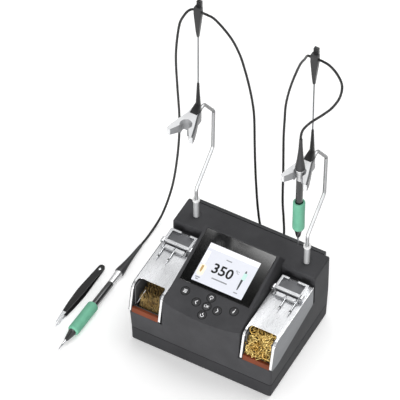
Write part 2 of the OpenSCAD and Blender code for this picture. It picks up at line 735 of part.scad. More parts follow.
module brass_wool() color("#b59a45") mirrored(1)
    intersection() {
        side_prism(rounded([[sill_y + 2.2, well_floor + cup_t + 0.1, 1],
            [well_back - 3, well_floor + cup_t + 0.1, 2], [well_back - 3, cup_top - 5, 5],
            [bend_y + 8, cup_top - 2, 8], [sill_y + 1, cup_wall_z + 6, 4],
            [sill_y + 2.2, cup_wall_z + 1.4, 0]]), cup_in.x, cup_in.y);
        plan_prism(rounded(box_corners(cup_in.x, sill_y, cup_in.y, well_back, 4)), 40, tray_z);
    }

// Rack on the rear of the tray, with keyholes for the parked cartridges
module rack() {
    x0 = rack_x0;
    x1 = rack_x1;
    z0 = tray_z + 0.05;
    z1 = tray_z + rack_h;
    y1 = rack_y + rack_d;
    notch_x = x0 + (x1 - x0) * 0.44;
    difference() {
        union() {
            block_box(x0 + 2, rack_y, z0, x1 - 2, lip_y, tray_z + ledge_h);
            block_box(x0, lip_y, z0, x1, y1, z1);
            for (x = [x0 - 1.4, x1 + 0.6]) translate([x, 0, ear_z]) cylinder_y(ear_r, lip_y - 1.6, lip_y + 5);
        }
        // Recess in the top, and the notch in the middle of its rear rim
        block_box(x0 + rack_rim, lip_y + lip_d, z1 - 4, x1 - rack_rim, y1 - rack_rim, z1 + past);
        block_box(notch_x - 6, y1 - rack_rim - past, z1 - 4, notch_x + 6, y1 + past, z1 + past);
        // Slot between the ledge and the lip, and the mark that parts the lip
        block_box(x0 + 1, lip_y - 1.4, tray_z + 3.6, x1 - 1, lip_y, z1);
        block_box(rack_mid - 0.3, lip_y - past, z1 - 0.6, rack_mid + 0.3, lip_y + lip_d + past, z1 + past);
        // Open inside, from below
        block_box(x0 + sheet, lip_y + 2 * sheet, z0 - past, x1 - sheet, y1 - sheet, z1 - 4 - sheet);
        for (i = [-1:1]) translate([rack_mid + i * slot_pitch, 0, slot_z]) {
            translate([0, rod_y, 0]) rotate([rod_tilt, 0, 0]) cylinder_y(rod_d / 2 + 0.1, -10, 9);
            block_box(-0.6, rack_y - past, 0, 0.6, lip_y + 0.5, 4);
            block_box(-1.8, rack_y - past, 1.4, 1.8, rack_y + 2, 4);
        }
        for (x = [x0 - 1.4, x1 + 0.6]) translate([x, 0, ear_z])
            cylinder_y(1.3, lip_y - 3, lip_y + 1.4);
    }
}

module cartridge_rack_left() color("#cfd0d2") mirrored(-1) rack();
module cartridge_rack_right() color("#cfd0d2") mirrored(1) rack();

module parked_cartridge() rotate([rod_tilt, 0, 0]) {
    cylinder_y(rod_d / 2, -20, 8);
    cylinder_y(1.3, -22, -19.8);
    translate([0, -21.9, 0]) rotate([90, 0, 0]) cylinder(r1 = 0.7, r2 = 0.2, h = 7);
}

module parked_cartridges(side) mirrored(side) for (i = [0, 1])
    translate([rack_mid + i * slot_pitch, rod_y, slot_z]) parked_cartridge();

module parked_cartridges_left() color("#d4d5d7") parked_cartridges(-1);
module parked_cartridges_right() color("#d4d5d7") parked_cartridges(1);

// Cord arms

module sleeve(side) translate([side * arm_x, arm_y, 0]) difference() {
    union() {
        translate([0, 0, sleeve_foot]) cylinder(d = sleeve_d, h = sleeve_top - sleeve_foot - cap_h);
        translate([0, 0, sleeve_top - cap_h - 0.05]) cylinder(d = cap_d, h = cap_h);
    }
    translate([0, 0, sleeve_foot + 3]) cylinder(d = arm_d + 2 * run, h = sleeve_top);
}

module sleeve_left() color("#b9babc") sleeve(-1);
module sleeve_right() color("#b9babc") sleeve(1);

// Bent rod: a round foot that turns in the sleeve, then a tube along the rounded path
module arm(side) translate([side * arm_x, 0, 0]) {
    translate([0, arm_y, arm_path[0].y]) cylinder(d = arm_d, h = arm_free_z - arm_path[0].y);
    tube([[0, arm_y, arm_free_z - 0.5], for (i = [1:len(arm_path) - 2])
        for (p = fillet(arm_path[i - 1], arm_path[i], arm_path[i + 1], arm_bend, 8)) [0, p.x, p.y],
        [0, arm_path[len(arm_path) - 1].x, arm_path[len(arm_path) - 1].y]], arm_d - 0.06, 24);
}

module arm_left() color("#c4c6c8") arm(-1);
module arm_right() color("#c4c6c8") arm(1);

// Black back of the holder: a horn, a hood that flares forward over the root of the fork,
// and a spine behind the root
module holder_back(side) translate([side * arm_x, horn_y, 0]) difference() {
    union() {
        rotate_extrude() polygon([[0, fork_z + hood_h - 0.1], [horn_r, fork_z + hood_h - 0.1],
            [2.3, fork_z + 26], [1.6, horn_top], [0, horn_top]]);
        hull() {
            plan_prism(hood_plan(), fork_z + 0.05, fork_z + 0.2);
            translate([0, 0, fork_z + hood_h - 0.1]) cylinder(r = horn_r, h = 0.1);
        }
        plan_prism(rounded(box_corners(-spine_w / 2, root_y + seat_y - horn_y + 0.1, spine_w / 2,
            horn_r, 1.5)), fork_z - fork_t - spine_drop, fork_z + 2);
    }
    translate([0, 0, guide_foot]) cylinder(d = guide_d + 0.02, h = 30);
    translate([-side * arm_x, -horn_y, 0]) arm_socket(side);
}

function hood_plan() = rounded([[-5, -12.4, 0.8], [5, -12.4, 0.8], [6, -6, 1], [spine_w / 2, 1.5, 1],
    [spine_w / 2, horn_r, 1.5], [-spine_w / 2, horn_r, 1.5], [-spine_w / 2, 1.5, 1], [-6, -6, 1]], 3);

// Bore in which the upper end of the bent rod ends
module arm_socket(side) translate([side * arm_x, 0, 0]) rotate([90, 0, 90]) {
    a = arm_path[4];
    b = arm_path[5];
    u = unit(b - a);
    translate([a.x, a.y, 0]) rotate([0, 0, atan2(u.y, u.x)]) rotate([0, 90, 0])
        cylinder(d = arm_d + 0.04, h = norm(b - a) + 0.05);
}

module holder_back_left() color("#1d1d1f") holder_back(-1);
module holder_back_right() color("#1d1d1f") holder_back(1);

// Fork: right half of its plan about the axis of the seat, from the root to the mouth
fork_half = [[6.4, root_y, 2], [7.4, 18.6, 4], [12.6, 4.5, 16], [16.2, -7, 20], [18.2, -16.4, 1.6],
    [13.6, -17.2, 1.6], [9.1, -10.4, 8], [mouth_half, -4.6, 1.5]];
function fork_plan() = let (k = len(fork_half) - 1) rounded([each fork_half,
    for (i = [k:-1:0]) [-fork_half[i].x, fork_half[i].y, fork_half[i].z]]);

module fork(side) translate([side * arm_x, seat_y, 0]) difference() {
    union() {
        plan_prism(fork_plan(), fork_z - fork_t, fork_z);
        translate([0, 0, fork_z - fork_t - seat_drop])
            cylinder(d = funnel_d, h = fork_t + seat_drop - 0.2);
        plan_prism(box_corners(-6.4, 6, 6.4, root_y, 0), fork_z - fork_t - spine_drop,
            fork_z - fork_t + past);
    }
    // Seat with a funnel above it
    translate([0, 0, fork_z - fork_t - 20]) cylinder(d = seat_d, h = fork_t + 30);
    translate([0, 0, fork_z - funnel_h]) cylinder(d1 = seat_d,
        d2 = seat_d + (funnel_d - seat_d) * (1 + past / funnel_h), h = funnel_h + past);
    // Mouth through the front of the seat's wall, wider in the funnel
    front_prism([[-neck_w / 2, fork_z - fork_t - 20], [neck_w / 2, fork_z - fork_t - 20],
        [neck_w / 2, fork_z - funnel_h], [mouth_half, fork_z], [mouth_half, fork_z + past],
        [-mouth_half, fork_z + past], [-mouth_half, fork_z], [-neck_w / 2, fork_z - funnel_h]],
        -12, 0);
    // The underside rises towards the tips
    side_prism([[-20, fork_z - fork_t - past], [-9, fork_z - fork_t - past],
        [-7, fork_z - fork_t], [-20, fork_z - fork_t + 3]], -25, 25);
}

module fork_left() color("#c9cacc") fork(-1);
module fork_right() color("#c9cacc") fork(1);

module guide_rod(side) translate([side * arm_x, horn_y, guide_foot + 0.1])
    cylinder(d = guide_d, h = clip_z + 10 - guide_foot, $fn = 24);

module guide_rod_left() color("#a9abad") guide_rod(-1);
module guide_rod_right() color("#a9abad") guide_rod(1);

// Clip on the guide rod: a tapered blade in front and a cap behind, with the cord between
module cord_clip(side) translate([side * arm_x, horn_y, clip_z]) difference() {
    union() {
        intersection() {
            front_prism(rounded([[-1.5, 0, 0], [1.5, 0, 0], [2.4, 12, 0], [5.1, 40, 6],
                [4.8, clip_l - 8, 1], [-4.8, clip_l - 8, 1], [-5.1, 40, 6], [-2.4, 12, 0]]), -4, 4);
            side_prism(rounded([[-1.3, 0, 0], [1.3, 0, 0], [2.2, 12, 0], [3.2, 42, 0],
                [3.2, clip_l - 8, 0.8], [-2.6, clip_l - 8, 0.8], [-2.4, 12, 0]]), -8, 8);
        }
        front_prism(rounded([[-3.6, 36, 0.5], [3.6, 36, 0.5], [3.2, clip_l, 1], [-3.2, clip_l, 1]]),
            1.5, 5.6);
    }
    translate([0, 0, clip_hole_z - clip_z]) rotate([0, 90, 0])
        cylinder(d = cord_d + 1.2, h = 30, center = true);
    translate([0, 0, -past]) cylinder(d = guide_d + 0.02, h = 11.2);
}

module cord_clip_left() color("#2b2b2d") cord_clip(-1);
module cord_clip_right() color("#2b2b2d") cord_clip(1);

// Handpieces, along +Z from the tip

module cartridge_shape() rotate_extrude()
    polygon([[0, 0], [0.2, 0], [0.6, 6], [1, 9], [1, nose_z + 12], [0, nose_z + 12]]);

module handle_shape() difference() {
    rotate_extrude() polygon([[0, nose_z], [2.1, nose_z], [2.4, nose_z + 1], [5.3, grip_z - 1.2],
        [5.3, grip_z - 0.05], [handle_d / 2, grip_z - 0.05], [handle_d / 2, collar_z - 0.05],
        [0, collar_z - 0.05]]);
    translate([0, 0, nose_z - past]) cylinder(r = 1.02, h = 13.2);
}

module grip_shape() difference() {
    rotate_extrude() polygon(rounded([[0, grip_z, 0], [grip_d / 2, grip_z, grip_round],
        [grip_d / 2, handle_z, grip_round], [0, handle_z, 0]]));
    translate([0, 0, grip_z - past]) cylinder(d = handle_d + 0.02, h = grip_l + 2 * past);
}

module collar_shape() rotate_extrude() polygon([[0, collar_z], [seat_d / 2 - 0.9, collar_z],
    [seat_d / 2 - 0.7, collar_z + 1], [seat_d / 2 - fit, relief_z - hang_h - funnel_h],
    [collar_d / 2, relief_z - 2.4], [collar_d / 2, relief_z - 0.05], [0, relief_z - 0.05]]);

module relief_shape() difference() {
    rotate_extrude() polygon(rounded([[0, relief_z, 0], [relief_d / 2 - 0.6, relief_z, 0],
        [relief_d / 2, relief_z + 1.4, 0.4], [relief_d * 0.37, relief_z + 14, 20],
        [relief_d * 0.23, relief_z + 34, 20], [cord_d / 2 + 0.6, tail_z, 0], [0, tail_z, 0]]));
    translate([0, 0, tail_z - 6]) cylinder(d = cord_d + 0.1, h = 10);
}

module left_cartridge() color("#b4b6b8") at_table() cartridge_shape();
module left_handle() color("#1f1f21") at_table() handle_shape();
module left_grip() color("#63a98b") at_table() grip_shape();
module left_collar() color("#e3e4e4") at_table() collar_shape();
module left_relief() color("#29292b") at_table() relief_shape();
module right_cartridge() color("#b4b6b8") at_holder() cartridge_shape();
module right_handle() color("#1f1f21") at_holder() handle_shape();
module right_grip() color("#63a98b") at_holder() grip_shape();
module right_collar() color("#e3e4e4") at_holder() collar_shape();
module right_relief() color("#29292b") at_holder() relief_shape();

// Tweezers: two bowed arms, joined at the rear

function bow(y) = sin(180 * min(1, -y / tweezer_l)) * tweezer_bow;
tip_half = tweezer_gap / 2 - 0.4;
function arm_curve(y) = bow(y) + tip_half * pow(min(1, -y / tweezer_l), 2);

function tweezer_plan() =
    let (w = tweezer_w / 2, r = tweezer_w * 0.42)
    [each [for (i = [0:8]) [r * cos(180 * i / 8), -r + r * sin(180 * i / 8)]],
        [-w * 0.9, -30], [-w, -52], [-w * 0.75, -78], [-w * 0.5, -coat_l],
        [-w * 0.14, -tweezer_l], [w * 0.14, -tweezer_l], [w * 0.5, -coat_l], [w * 0.75, -78],
        [w, -52], [w * 0.9, -30]];

module tweezer_arm(sign) intersection() {
    plan_prism(tweezer_plan(), -10, 30);
    side_prism([each [for (i = [0:16]) let (y = -tweezer_l * i / 16)
            [y, tweezer_mid + sign * (arm_curve(y) + 0.06)]],
        each [for (i = [16:-1:0]) let (y = -tweezer_l * i / 16)
            [y, tweezer_mid + sign * (arm_curve(y) + 0.06 + tweezer_t)]]], -10, 10);
}

tweezer_mid = tweezer_t + max([for (i = [0:16]) arm_curve(-tweezer_l * i / 16)]) + 0.1;

module tweezer_arm_low() color("#161617") at_tweezers() tweezer_arm(-1);
module tweezer_arm_top() color("#161617") at_tweezers() tweezer_arm(1);

// Cords and their plugs

module plug(x) translate([x, 0, socket_z]) {
    cylinder_y(4.5, back_y - 6, back_y + 4);
    cylinder_y(plug_r, back_y + 2.3, back_y + 2.3 + plug_l);
    translate([0, back_y + 2.2 + plug_l, 0]) rotate([-90, 0, 0])
        cylinder(r1 = 4, r2 = cord_d / 2 + 0.5, h = plug_relief);
}

module plug_left() color("#222224") plug(socket_x[0]);
module plug_right() color("#222224") plug(socket_x[1]);

// Point of a smooth curve through the route
function smooth_point(route, i, t) =
    let (k = len(route) - 1)
    let (a = route[max(0, i - 1)], b = route[i], c = route[min(k, i + 1)], d = route[min(k, i + 2)])
    0.5 * (2 * b + (c - a) * t + (2 * a - 5 * b + 4 * c - d) * t * t
        + (3 * b - a - 3 * c + d) * t * t * t);

// Rings lie at the route's points, with more between points that are far apart
function curve(route) =
    let (k = len(route) - 1)
    [for (i = [0:k - 1])
        let (n = norm(route[i + 1] - route[i]) > 45 ? 2 : 1)
        each [for (j = [0:n - 1]) smooth_point(route, i, j / n)], route[k]];

module tube(points, d, sides) {
    k = len(points) - 1;
    ways = [for (i = [0:k]) unit(points[min(k, i + 1)] - points[max(0, i - 1)])];
    rings = [for (i = [0:k])
        let (w = ways[i], ref = abs(w.x) < 0.9 ? [1, 0, 0] : [0, 1, 0])
        let (s = unit(cross(w, ref)), q = cross(w, s))
        [for (j = [0:sides - 1]) points[i] + d / 2 * (s * cos(360 * j / sides) + q * sin(360 * j / sides))]];
    polyhedron(points = [for (r = rings) each r], faces = [
        [for (j = [0:sides - 1]) j],
        for (i = [0:k - 1], j = [0:sides - 1]) each [
            [i * sides + j, (i + 1) * sides + j, (i + 1) * sides + (j + 1) % sides],
            [i * sides + j, (i + 1) * sides + (j + 1) % sides, i * sides + (j + 1) % sides]],
        [for (j = [sides - 1:-1:0]) k * sides + j]]);
}

module cord_left() color("#1b1b1c") tube(curve(cord_left_route), cord_d, 8);
module cord_right() color("#1b1b1c") tube(curve(cord_right_route), cord_d, 8);

base();
upper_housing();
rear_panel();
display_window();
lcd_panel();
control_board();
transformer();
feet();
case_screws();
mains_inlet();
switch_frame();
power_switch();
tool_sockets();
button_menu();
button_up();
button_left();
button_ok();
button_right();
button_down();
button_info();
sleeve_left();
sleeve_right();
wiper_left();
wiper_right();
cup_left();
cup_right();
brass_brush();
brass_wool();
arm_left();
arm_right();
holder_back_left();
holder_back_right();
fork_left();
fork_right();
guide_rod_left();
guide_rod_right();
cord_clip_left();
cord_clip_right();
tray_cover_left();
tray_cover_right();
cartridge_rack_left();
cartridge_rack_right();
parked_cartridges_left();
parked_cartridges_right();
left_cartridge();
left_handle();
left_grip();
left_collar();
left_relief();
right_cartridge();
right_handle();
right_grip();
right_collar();
right_relief();
tweezer_arm_low();
tweezer_arm_top();
plug_left();
plug_right();
cord_left();
cord_right();
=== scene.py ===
# Two-tool soldering station: looks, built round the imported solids.
# All sizes are in metres; points written in millimetres go through mm().

import math

import bmesh
import bpy
from mathutils import Matrix, Vector


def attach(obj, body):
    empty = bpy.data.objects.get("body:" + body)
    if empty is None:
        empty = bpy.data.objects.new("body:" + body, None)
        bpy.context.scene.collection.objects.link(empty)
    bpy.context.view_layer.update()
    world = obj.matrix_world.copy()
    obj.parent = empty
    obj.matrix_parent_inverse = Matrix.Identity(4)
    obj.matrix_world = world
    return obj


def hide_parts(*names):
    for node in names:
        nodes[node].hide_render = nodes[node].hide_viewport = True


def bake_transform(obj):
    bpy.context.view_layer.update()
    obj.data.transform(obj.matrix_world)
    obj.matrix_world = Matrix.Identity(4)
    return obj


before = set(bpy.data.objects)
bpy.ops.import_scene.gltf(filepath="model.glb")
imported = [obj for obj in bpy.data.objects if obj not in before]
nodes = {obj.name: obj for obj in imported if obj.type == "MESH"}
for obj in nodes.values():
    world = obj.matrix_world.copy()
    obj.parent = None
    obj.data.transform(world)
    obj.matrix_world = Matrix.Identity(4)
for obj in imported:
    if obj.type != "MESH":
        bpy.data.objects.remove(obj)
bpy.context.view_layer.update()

MM = 0.001
SIDES = (("left", -1), ("right", 1))
# Places and sizes of the solids, in mm. The keys' places are across and up the console's face
KEYS = {"menu": (-34.3, -14.9), "up": (0, -10.3), "left": (-14.7, -22.8), "ok": (0, -22.8),
        "right": (14.7, -22.8), "down": (0, -35.3), "info": (34.3, -14.9)}
FACE_TILT = math.radians(16.5)
FACE_Y = -38.6
FACE_Z = 122.6 + FACE_Y * math.tan(FACE_TILT)
BACK_Y = 81.7
HALF_W = 100.8
# Foot of the base's lip, which stands in the seam below the cover
SEAM_Z = 22.5
# Tray cover: its top, the back of its front legs, the sides of its mouth and the rack's front lip
TRAY_Z = 100.0
LEG_Y = -70.6
MOUTH_X = (59.3, 97.8)
LIP_Y = 4.0
PARKED_X = (78.75, 93.2)
# Top of the brush's block, where its bristles start
BRUSH_Z = 60
ARM_X = 78.4
SLEEVE_TOP = 145.6
CAP_H = 3.7
FORK_Z = 314.0
FORK_FRONT_Y = 14.5
HORN_Y = 61.0
SEAT_Y = 30.0
CORD_D = 3.1
SOCKET_Z = 48
POWER_Z = 52
# Heights along a handpiece, from its tip
NOSE_Z = 17.6
GRIP_Z = 33.6
HANDLE_Z = 84.2
COLLAR_Z = 125.6
RELIEF_Z = 146.2
TAIL_Z = 200.2


def mm(*point):
    return Vector(point) * MM


# Place of the console face: x across, y up the slope, z along its normal, from just below the display
ON_FACE = Matrix.Translation(mm(0, FACE_Y, FACE_Z)) @ Matrix.Rotation(FACE_TILT, 4, "X")
FACE_WAY = ON_FACE.to_3x3() @ Vector((0, 0, 1))
# Places of the two handpieces, each along +Z from its tip
LEAN = math.asin(1.4 / (RELIEF_Z - HANDLE_Z + 3))
AT_HOLDER = Matrix.Translation(mm(ARM_X, SEAT_Y, 172.8))
AT_TABLE = (Matrix.Translation(mm(-166.5, -143.5, 9.451)) @ Matrix.Rotation(math.radians(-1.9), 4, "Z")
            @ Matrix.Rotation(-math.pi / 2 - LEAN, 4, "X"))
AT_TWEEZERS = Matrix.Translation(mm(-185.2, 4, 0)) @ Matrix.Rotation(math.radians(-3), 4, "Z")


# Materials

def linear(code):
    """sRGB hex to linear colour."""
    values = [int(code[i:i + 2], 16) / 255 for i in (0, 2, 4)]
    return tuple(c / 12.92 if c <= 0.04045 else ((c + 0.055) / 1.055) ** 2.4
                 for c in values) + (1.0,)


def add(tree, kind, links=None, values=None, **settings):
    """One node, with its settings, its inputs' values and what is linked to its inputs."""
    node = tree.nodes.new(kind)
    for name, value in settings.items():
        setattr(node, name, value)
    for key, value in (values or {}).items():
        node.inputs[key].default_value = value
    for key, source in (links or {}).items():
        tree.links.new(source, node.inputs[key])
    return node


def new_tree(owner):
    owner.use_nodes = True
    owner.node_tree.nodes.clear()
    return owner.node_tree


def object_place(tree, scale=(1, 1, 1)):
    place = add(tree, "ShaderNodeTexCoord")
    return add(tree, "ShaderNodeMapping", {"Vector": place.outputs["Object"]},
               {"Scale": scale}).outputs[0]


def per_mm(size):
    """Texture scale that repeats once in so many millimetres."""
    return 1000.0 / size


def ramp(tree, source, *stops):
    """Maps a factor to colours, each stop given as (position, colour)."""
    node = add(tree, "ShaderNodeValToRGB", {"Fac": source})
    while len(node.color_ramp.elements) < len(stops):
        node.color_ramp.elements.new(0.5)
    for element, (position, colour) in zip(node.color_ramp.elements, stops):
        element.position = position
        element.color = colour
    return node.outputs["Color"]


def painted_rim_shade(tree, colour, amount):
    """Painted shade: darkens a colour where a round piece turns away from the viewer, in place of its
    reflection of the dark side of the room.
    """
    turned = add(tree, "ShaderNodeLayerWeight", values={"Blend": 0.5})
    shade = ramp(tree, turned.outputs["Facing"], (0.13, (1, 1, 1, 1)),
                 (0.57, (amount, amount, amount, 1)))
    return add(tree, "ShaderNodeMix", {6: colour, 7: shade}, {0: 1.0}, data_type="RGBA",
               blend_type="MULTIPLY").outputs[2]


def grained(name, codes, levels, broad, fine, rough, bump, rim, traits, stretch=(1, 1, 1)):
    """A surface whose tone follows a broad noise, and whose gloss and bumps follow a fine one."""
    material = bpy.data.materials.new(name)
    tree = new_tree(material)
    place = object_place(tree, stretch)
    tone = add(tree, "ShaderNodeTexNoise", {"Vector": place}, broad)
    colour = ramp(tree, tone.outputs["Fac"], *zip(levels, map(linear, codes)))
    # A rim below 1 gives painted shade on the sides of a round piece
    if rim < 1:
        colour = painted_rim_shade(tree, colour, rim)
    grain = add(tree, "ShaderNodeTexNoise", {"Vector": place}, fine)
    uneven = add(tree, "ShaderNodeMapRange", {"Value": grain.outputs["Fac"]}, rough)
    bumps = add(tree, "ShaderNodeBump", {"Height": grain.outputs["Fac"]}, bump)
    shader = add(tree, "ShaderNodeBsdfPrincipled",
                 {"Base Color": colour, "Roughness": uneven.outputs[0], "Normal": bumps.outputs[0]},
                 traits)
    add(tree, "ShaderNodeOutputMaterial", {"Surface": shader.outputs[0]})
    return material


def moulded(name, code, dark_code, roughness, grain, depth, ior=1.52, coat=0.0, gloss=0.5,
            rim=1.0):
    """Moulded plastic, rubber or paint: a fine grain, a slow change of tone and uneven gloss."""
    spread_out = min(0.07, roughness * 0.4)
    return grained(name, (dark_code, code), (0.35, 0.7),
                   {"Scale": per_mm(38), "Detail": 4.0, "Roughness": 0.6},
                   {"Scale": per_mm(grain), "Detail": 3.0, "Roughness": 0.65},
                   {"To Min": roughness - spread_out, "To Max": roughness + spread_out},
                   {"Strength": 0.35, "Distance": depth * MM}, rim,
                   {"IOR": ior, "Coat Weight": coat, "Coat Roughness": 0.12,
                    "Specular IOR Level": gloss})


def metal(name, code, dark_code, roughness, line=1, depth=0.02, anisotropy=0.0, rim=1.0,
          bare=1.0):
    """Metal with an even grain, or with brushed lines that are line times as long as wide."""
    return grained(name, (dark_code, code), (0.3, 0.72),
                   {"Scale": per_mm(14), "Detail": 2.0, "Roughness": 0.5},
                   {"Scale": per_mm(0.9), "Detail": 5.0, "Roughness": 0.7},
                   {"From Min": 0.3, "From Max": 0.7, "To Min": max(0.03, roughness - 0.08),
                    "To Max": roughness + 0.08},
                   {"Strength": 0.25, "Distance": depth * MM}, rim,
                   {"Metallic": bare, "Anisotropic": anisotropy}, (1, 1 / line, 1))


def print_ink(name, code, roughness, glow=0.0):
    """Thin print, slightly uneven in gloss; on the display it also gives its own light."""
    material = bpy.data.materials.new(name)
    tree = new_tree(material)
    fine = add(tree, "ShaderNodeTexNoise", {"Vector": object_place(tree)},
               {"Scale": per_mm(0.5), "Detail": 2.0})
    rough = add(tree, "ShaderNodeMapRange", {"Value": fine.outputs["Fac"]},
                {"To Min": roughness - 0.08, "To Max": roughness + 0.08})
    shader = add(tree, "ShaderNodeBsdfPrincipled", {"Roughness": rough.outputs[0]},
                 {"Base Color": linear(code), "Emission Color": linear(code),
                  "Emission Strength": glow, "Specular IOR Level": 0.3})
    add(tree, "ShaderNodeOutputMaterial", {"Surface": shader.outputs[0]})
    return material


# A moulded grain is a tenth of a millimetre or less. Here it is 0.5 mm and up, so that it shows.
# ABS from an eroded mould: dull, with soft broad highlights
HOUSING = moulded("textured_abs_housing", "454547", "3d3d3f", 0.55, 0.7, 0.05, gloss=0.08)
BASE = moulded("textured_abs_base", "38383a", "323234", 0.55, 0.7, 0.05, gloss=0.1)
# ABS from a polished mould: darker, with a satin sheen on the dished caps
KEY = moulded("satin_abs_key", "28282a", "222224", 0.4, 0.5, 0.02, gloss=0.4)
# The same plastic in gaps and seams, where the light doesn't reach
GAP = moulded("shaded_abs_gap", "121213", "0e0e0f", 0.7, 0.7, 0.02, gloss=0.2)
# Powder coat on sheet steel: an orange-peel skin that breaks up the highlights
PANEL = moulded("powder_coated_panel", "2f3032", "28292b", 0.42, 1.4, 0.06, gloss=0.3)
# Polyamide mouldings, smoother than the housing: small clear highlights
BLACK_PA = moulded("moulded_polyamide_black", "171718", "101011", 0.3, 0.8, 0.02, gloss=0.35)
# The same, polished: a bright line along a body whose sides go dark with painted shade
HANDLE = moulded("glossy_polyamide_handle", "3a3b3c", "222324", 0.2, 1.2, 0.01, coat=0.3, rim=0.15)
# Plain satin mouldings; the clip's sides are darkened with painted shade
CLIP = moulded("moulded_polyamide_clip", "333335", "2a2a2c", 0.36, 0.8, 0.02, gloss=0.35, rim=0.4)
CUP = moulded("moulded_polyamide_cup", "5f6062", "525355", 0.5, 0.8, 0.03)
# White polyamide ring that closes the top of each sleeve
CAP = moulded("moulded_polyamide_cap", "f2f2f2", "e8e8e8", 0.35, 0.8, 0.01)
# Rubber and silicone: no sharp highlight. The cord relief's sides are darkened with painted shade
FOOT = moulded("rubber_foot", "222223", "1a1a1b", 0.75, 0.9, 0.05)
RELIEF = moulded("rubber_cord_relief", "48484a", "3a3a3c", 0.45, 0.8, 0.02, gloss=0.3, rim=0.25)
CORD = moulded("silicone_rubber_cord", "141415", "0e0e0f", 0.42, 0.8, 0.02, gloss=0.3)
SILICONE = moulded("silicone_wiper", "7e3e23", "66311b", 0.5, 0.9, 0.03, gloss=0.2)
# Closed-cell foam: matt, with fine pores; painted shade darkens the grip's sides and the recess round
# the handle at its top end
GRIP = moulded("closed_cell_foam_grip", "7cc3a3", "6cb295", 0.62, 0.55, 0.1, gloss=0.3, rim=0.8)
GRIP_RECESS_SHADE = moulded("painted_shade_foam_recess", "4f8d73", "417a62", 0.75, 0.5, 0.12)
# Lacquer on the board and on the winding wire: smooth, over a coarser pattern
BOARD = moulded("solder_mask_board", "2f6f49", "255a3b", 0.3, 2.5, 0.02)
COPPER = moulded("lacquered_copper_winding", "b8723a", "8f5426", 0.3, 1.2, 0.08)
# Stainless sheet, brushed along its length: highlights drawn out along long fine lines
STEEL = metal("brushed_stainless_sheet", "d0d1d3", "c3c4c6", 0.3, line=14, depth=0.012, anisotropy=0.4)
# The same sheet on its outer side, brushed coarser, and coloured darker as painted shade
STEEL_SIDE_SHADE = metal("painted_shade_stainless_side", "808285", "737578", 0.42, line=20, depth=0.02)
# Sheared and polished edges and legs of the sheet, coloured white as painted highlight: they show as
# thin white lines
EDGE_HIGHLIGHT = metal("painted_highlight_cut_edge", "ffffff", "f6f6f7", 0.16, depth=0.004)
# Cast aluminium, tumbled to an even sheen; inside its recess matt, and coloured darker as painted shade
CAST = metal("satin_cast_aluminium", "d2d3d5", "bcbdbf", 0.3, depth=0.03)
RECESS_SHADE = moulded("painted_shade_aluminium_recess", "76777a", "5c5d60", 0.6, 0.9, 0.04)
# Bright plating on round steel: white in the middle, with thin dark edges of painted shade
PLATED = metal("bright_plated_rod", "f4f5f6", "e6e8ea", 0.18, line=6, depth=0.006, rim=0.15, bare=0.25)
# Turned aluminium, satin anodised: the same, but softer, its sides also darkened by painted shade
TURNED = metal("turned_aluminium_sleeve", "f4f5f6", "e6e7e9", 0.42, depth=0.01, rim=0.45, bare=0.15)
# Satin paint on the light forks: smooth and nearly even
FORK = moulded("satin_painted_fork", "dedfe0", "d2d3d5", 0.34, 1.0, 0.015, coat=0.15)
# Drawn wire, nickel, polished tube, iron plating and zinc: grey metals from dull to bright; all but the
# zinc have painted shade on their sides
WIRE = metal("drawn_spring_wire", "9a9da2", "85888d", 0.3, depth=0.005, rim=0.3)
COLLAR = metal("satin_nickel_collar", "fafafb", "f0f1f2", 0.24, depth=0.008, rim=0.5, bare=0.7)
TUBE = metal("polished_steel_tube", "e6e8ea", "d6d8da", 0.2, depth=0.005, rim=0.2)
TIP = metal("iron_plated_tip", "9a9da0", "808285", 0.3, depth=0.02, rim=0.4)
SCREW = metal("zinc_plated_screw", "a0a2a6", "8b8d91", 0.34, depth=0.02)
# Brass turnings: bright strands, and for the dark gaps deep in the wool and the brush, cores coloured
# as painted shade
BRASS = metal("brass_turnings", "efd78c", "ab822c", 0.22, depth=0.01, bare=0.4)
BRASS_DEPTH = moulded("shaded_brass_depth", "4a360f", "241a06", 0.7, 1.5, 0.2)
BRISTLE = metal("brass_bristle", "bfa56c", "86693a", 0.4, depth=0.01, bare=0.3)
BRISTLE_ROOT = moulded("shaded_bristle_roots", "33290f", "2c2312", 0.8, 0.8, 0.15)
# Painted shade on the fork's paint: its upright walls, in the shade of its top, and darker still the
# spine on its right
FORK_WALL_SHADE = moulded("painted_shade_fork_wall", "8f9092", "828385", 0.34, 1.0, 0.015)
FORK_SPINE_SHADE = moulded("painted_shade_fork_spine", "4a4b4d", "3e3f41", 0.34, 1.0, 0.015)
# Painted reflection: a dark line along the bend at the outer edge of the left cover
FOLD_REFLECTION = metal("painted_reflection_fold", "4a4c4e", "3c3e40", 0.35, depth=0.01)
# Tweezer steel: smooth black coating, and bare tips brushed along their length
COATED = moulded("black_coated_steel", "101011", "0a0a0b", 0.34, 0.6, 0.02, gloss=0.35)
BARE = metal("bare_tweezer_steel", "dedfe1", "cccfd2", 0.24, line=5, depth=0.008)
# Acrylic over black, polished: it mirrors the overhead lamp. Its IOR is above acrylic's own, to
# give that mirror image the strength it has on the real window
WINDOW = moulded("polished_acrylic_window", "030303", "020202", 0.085, 60, 0.001, ior=1.9)
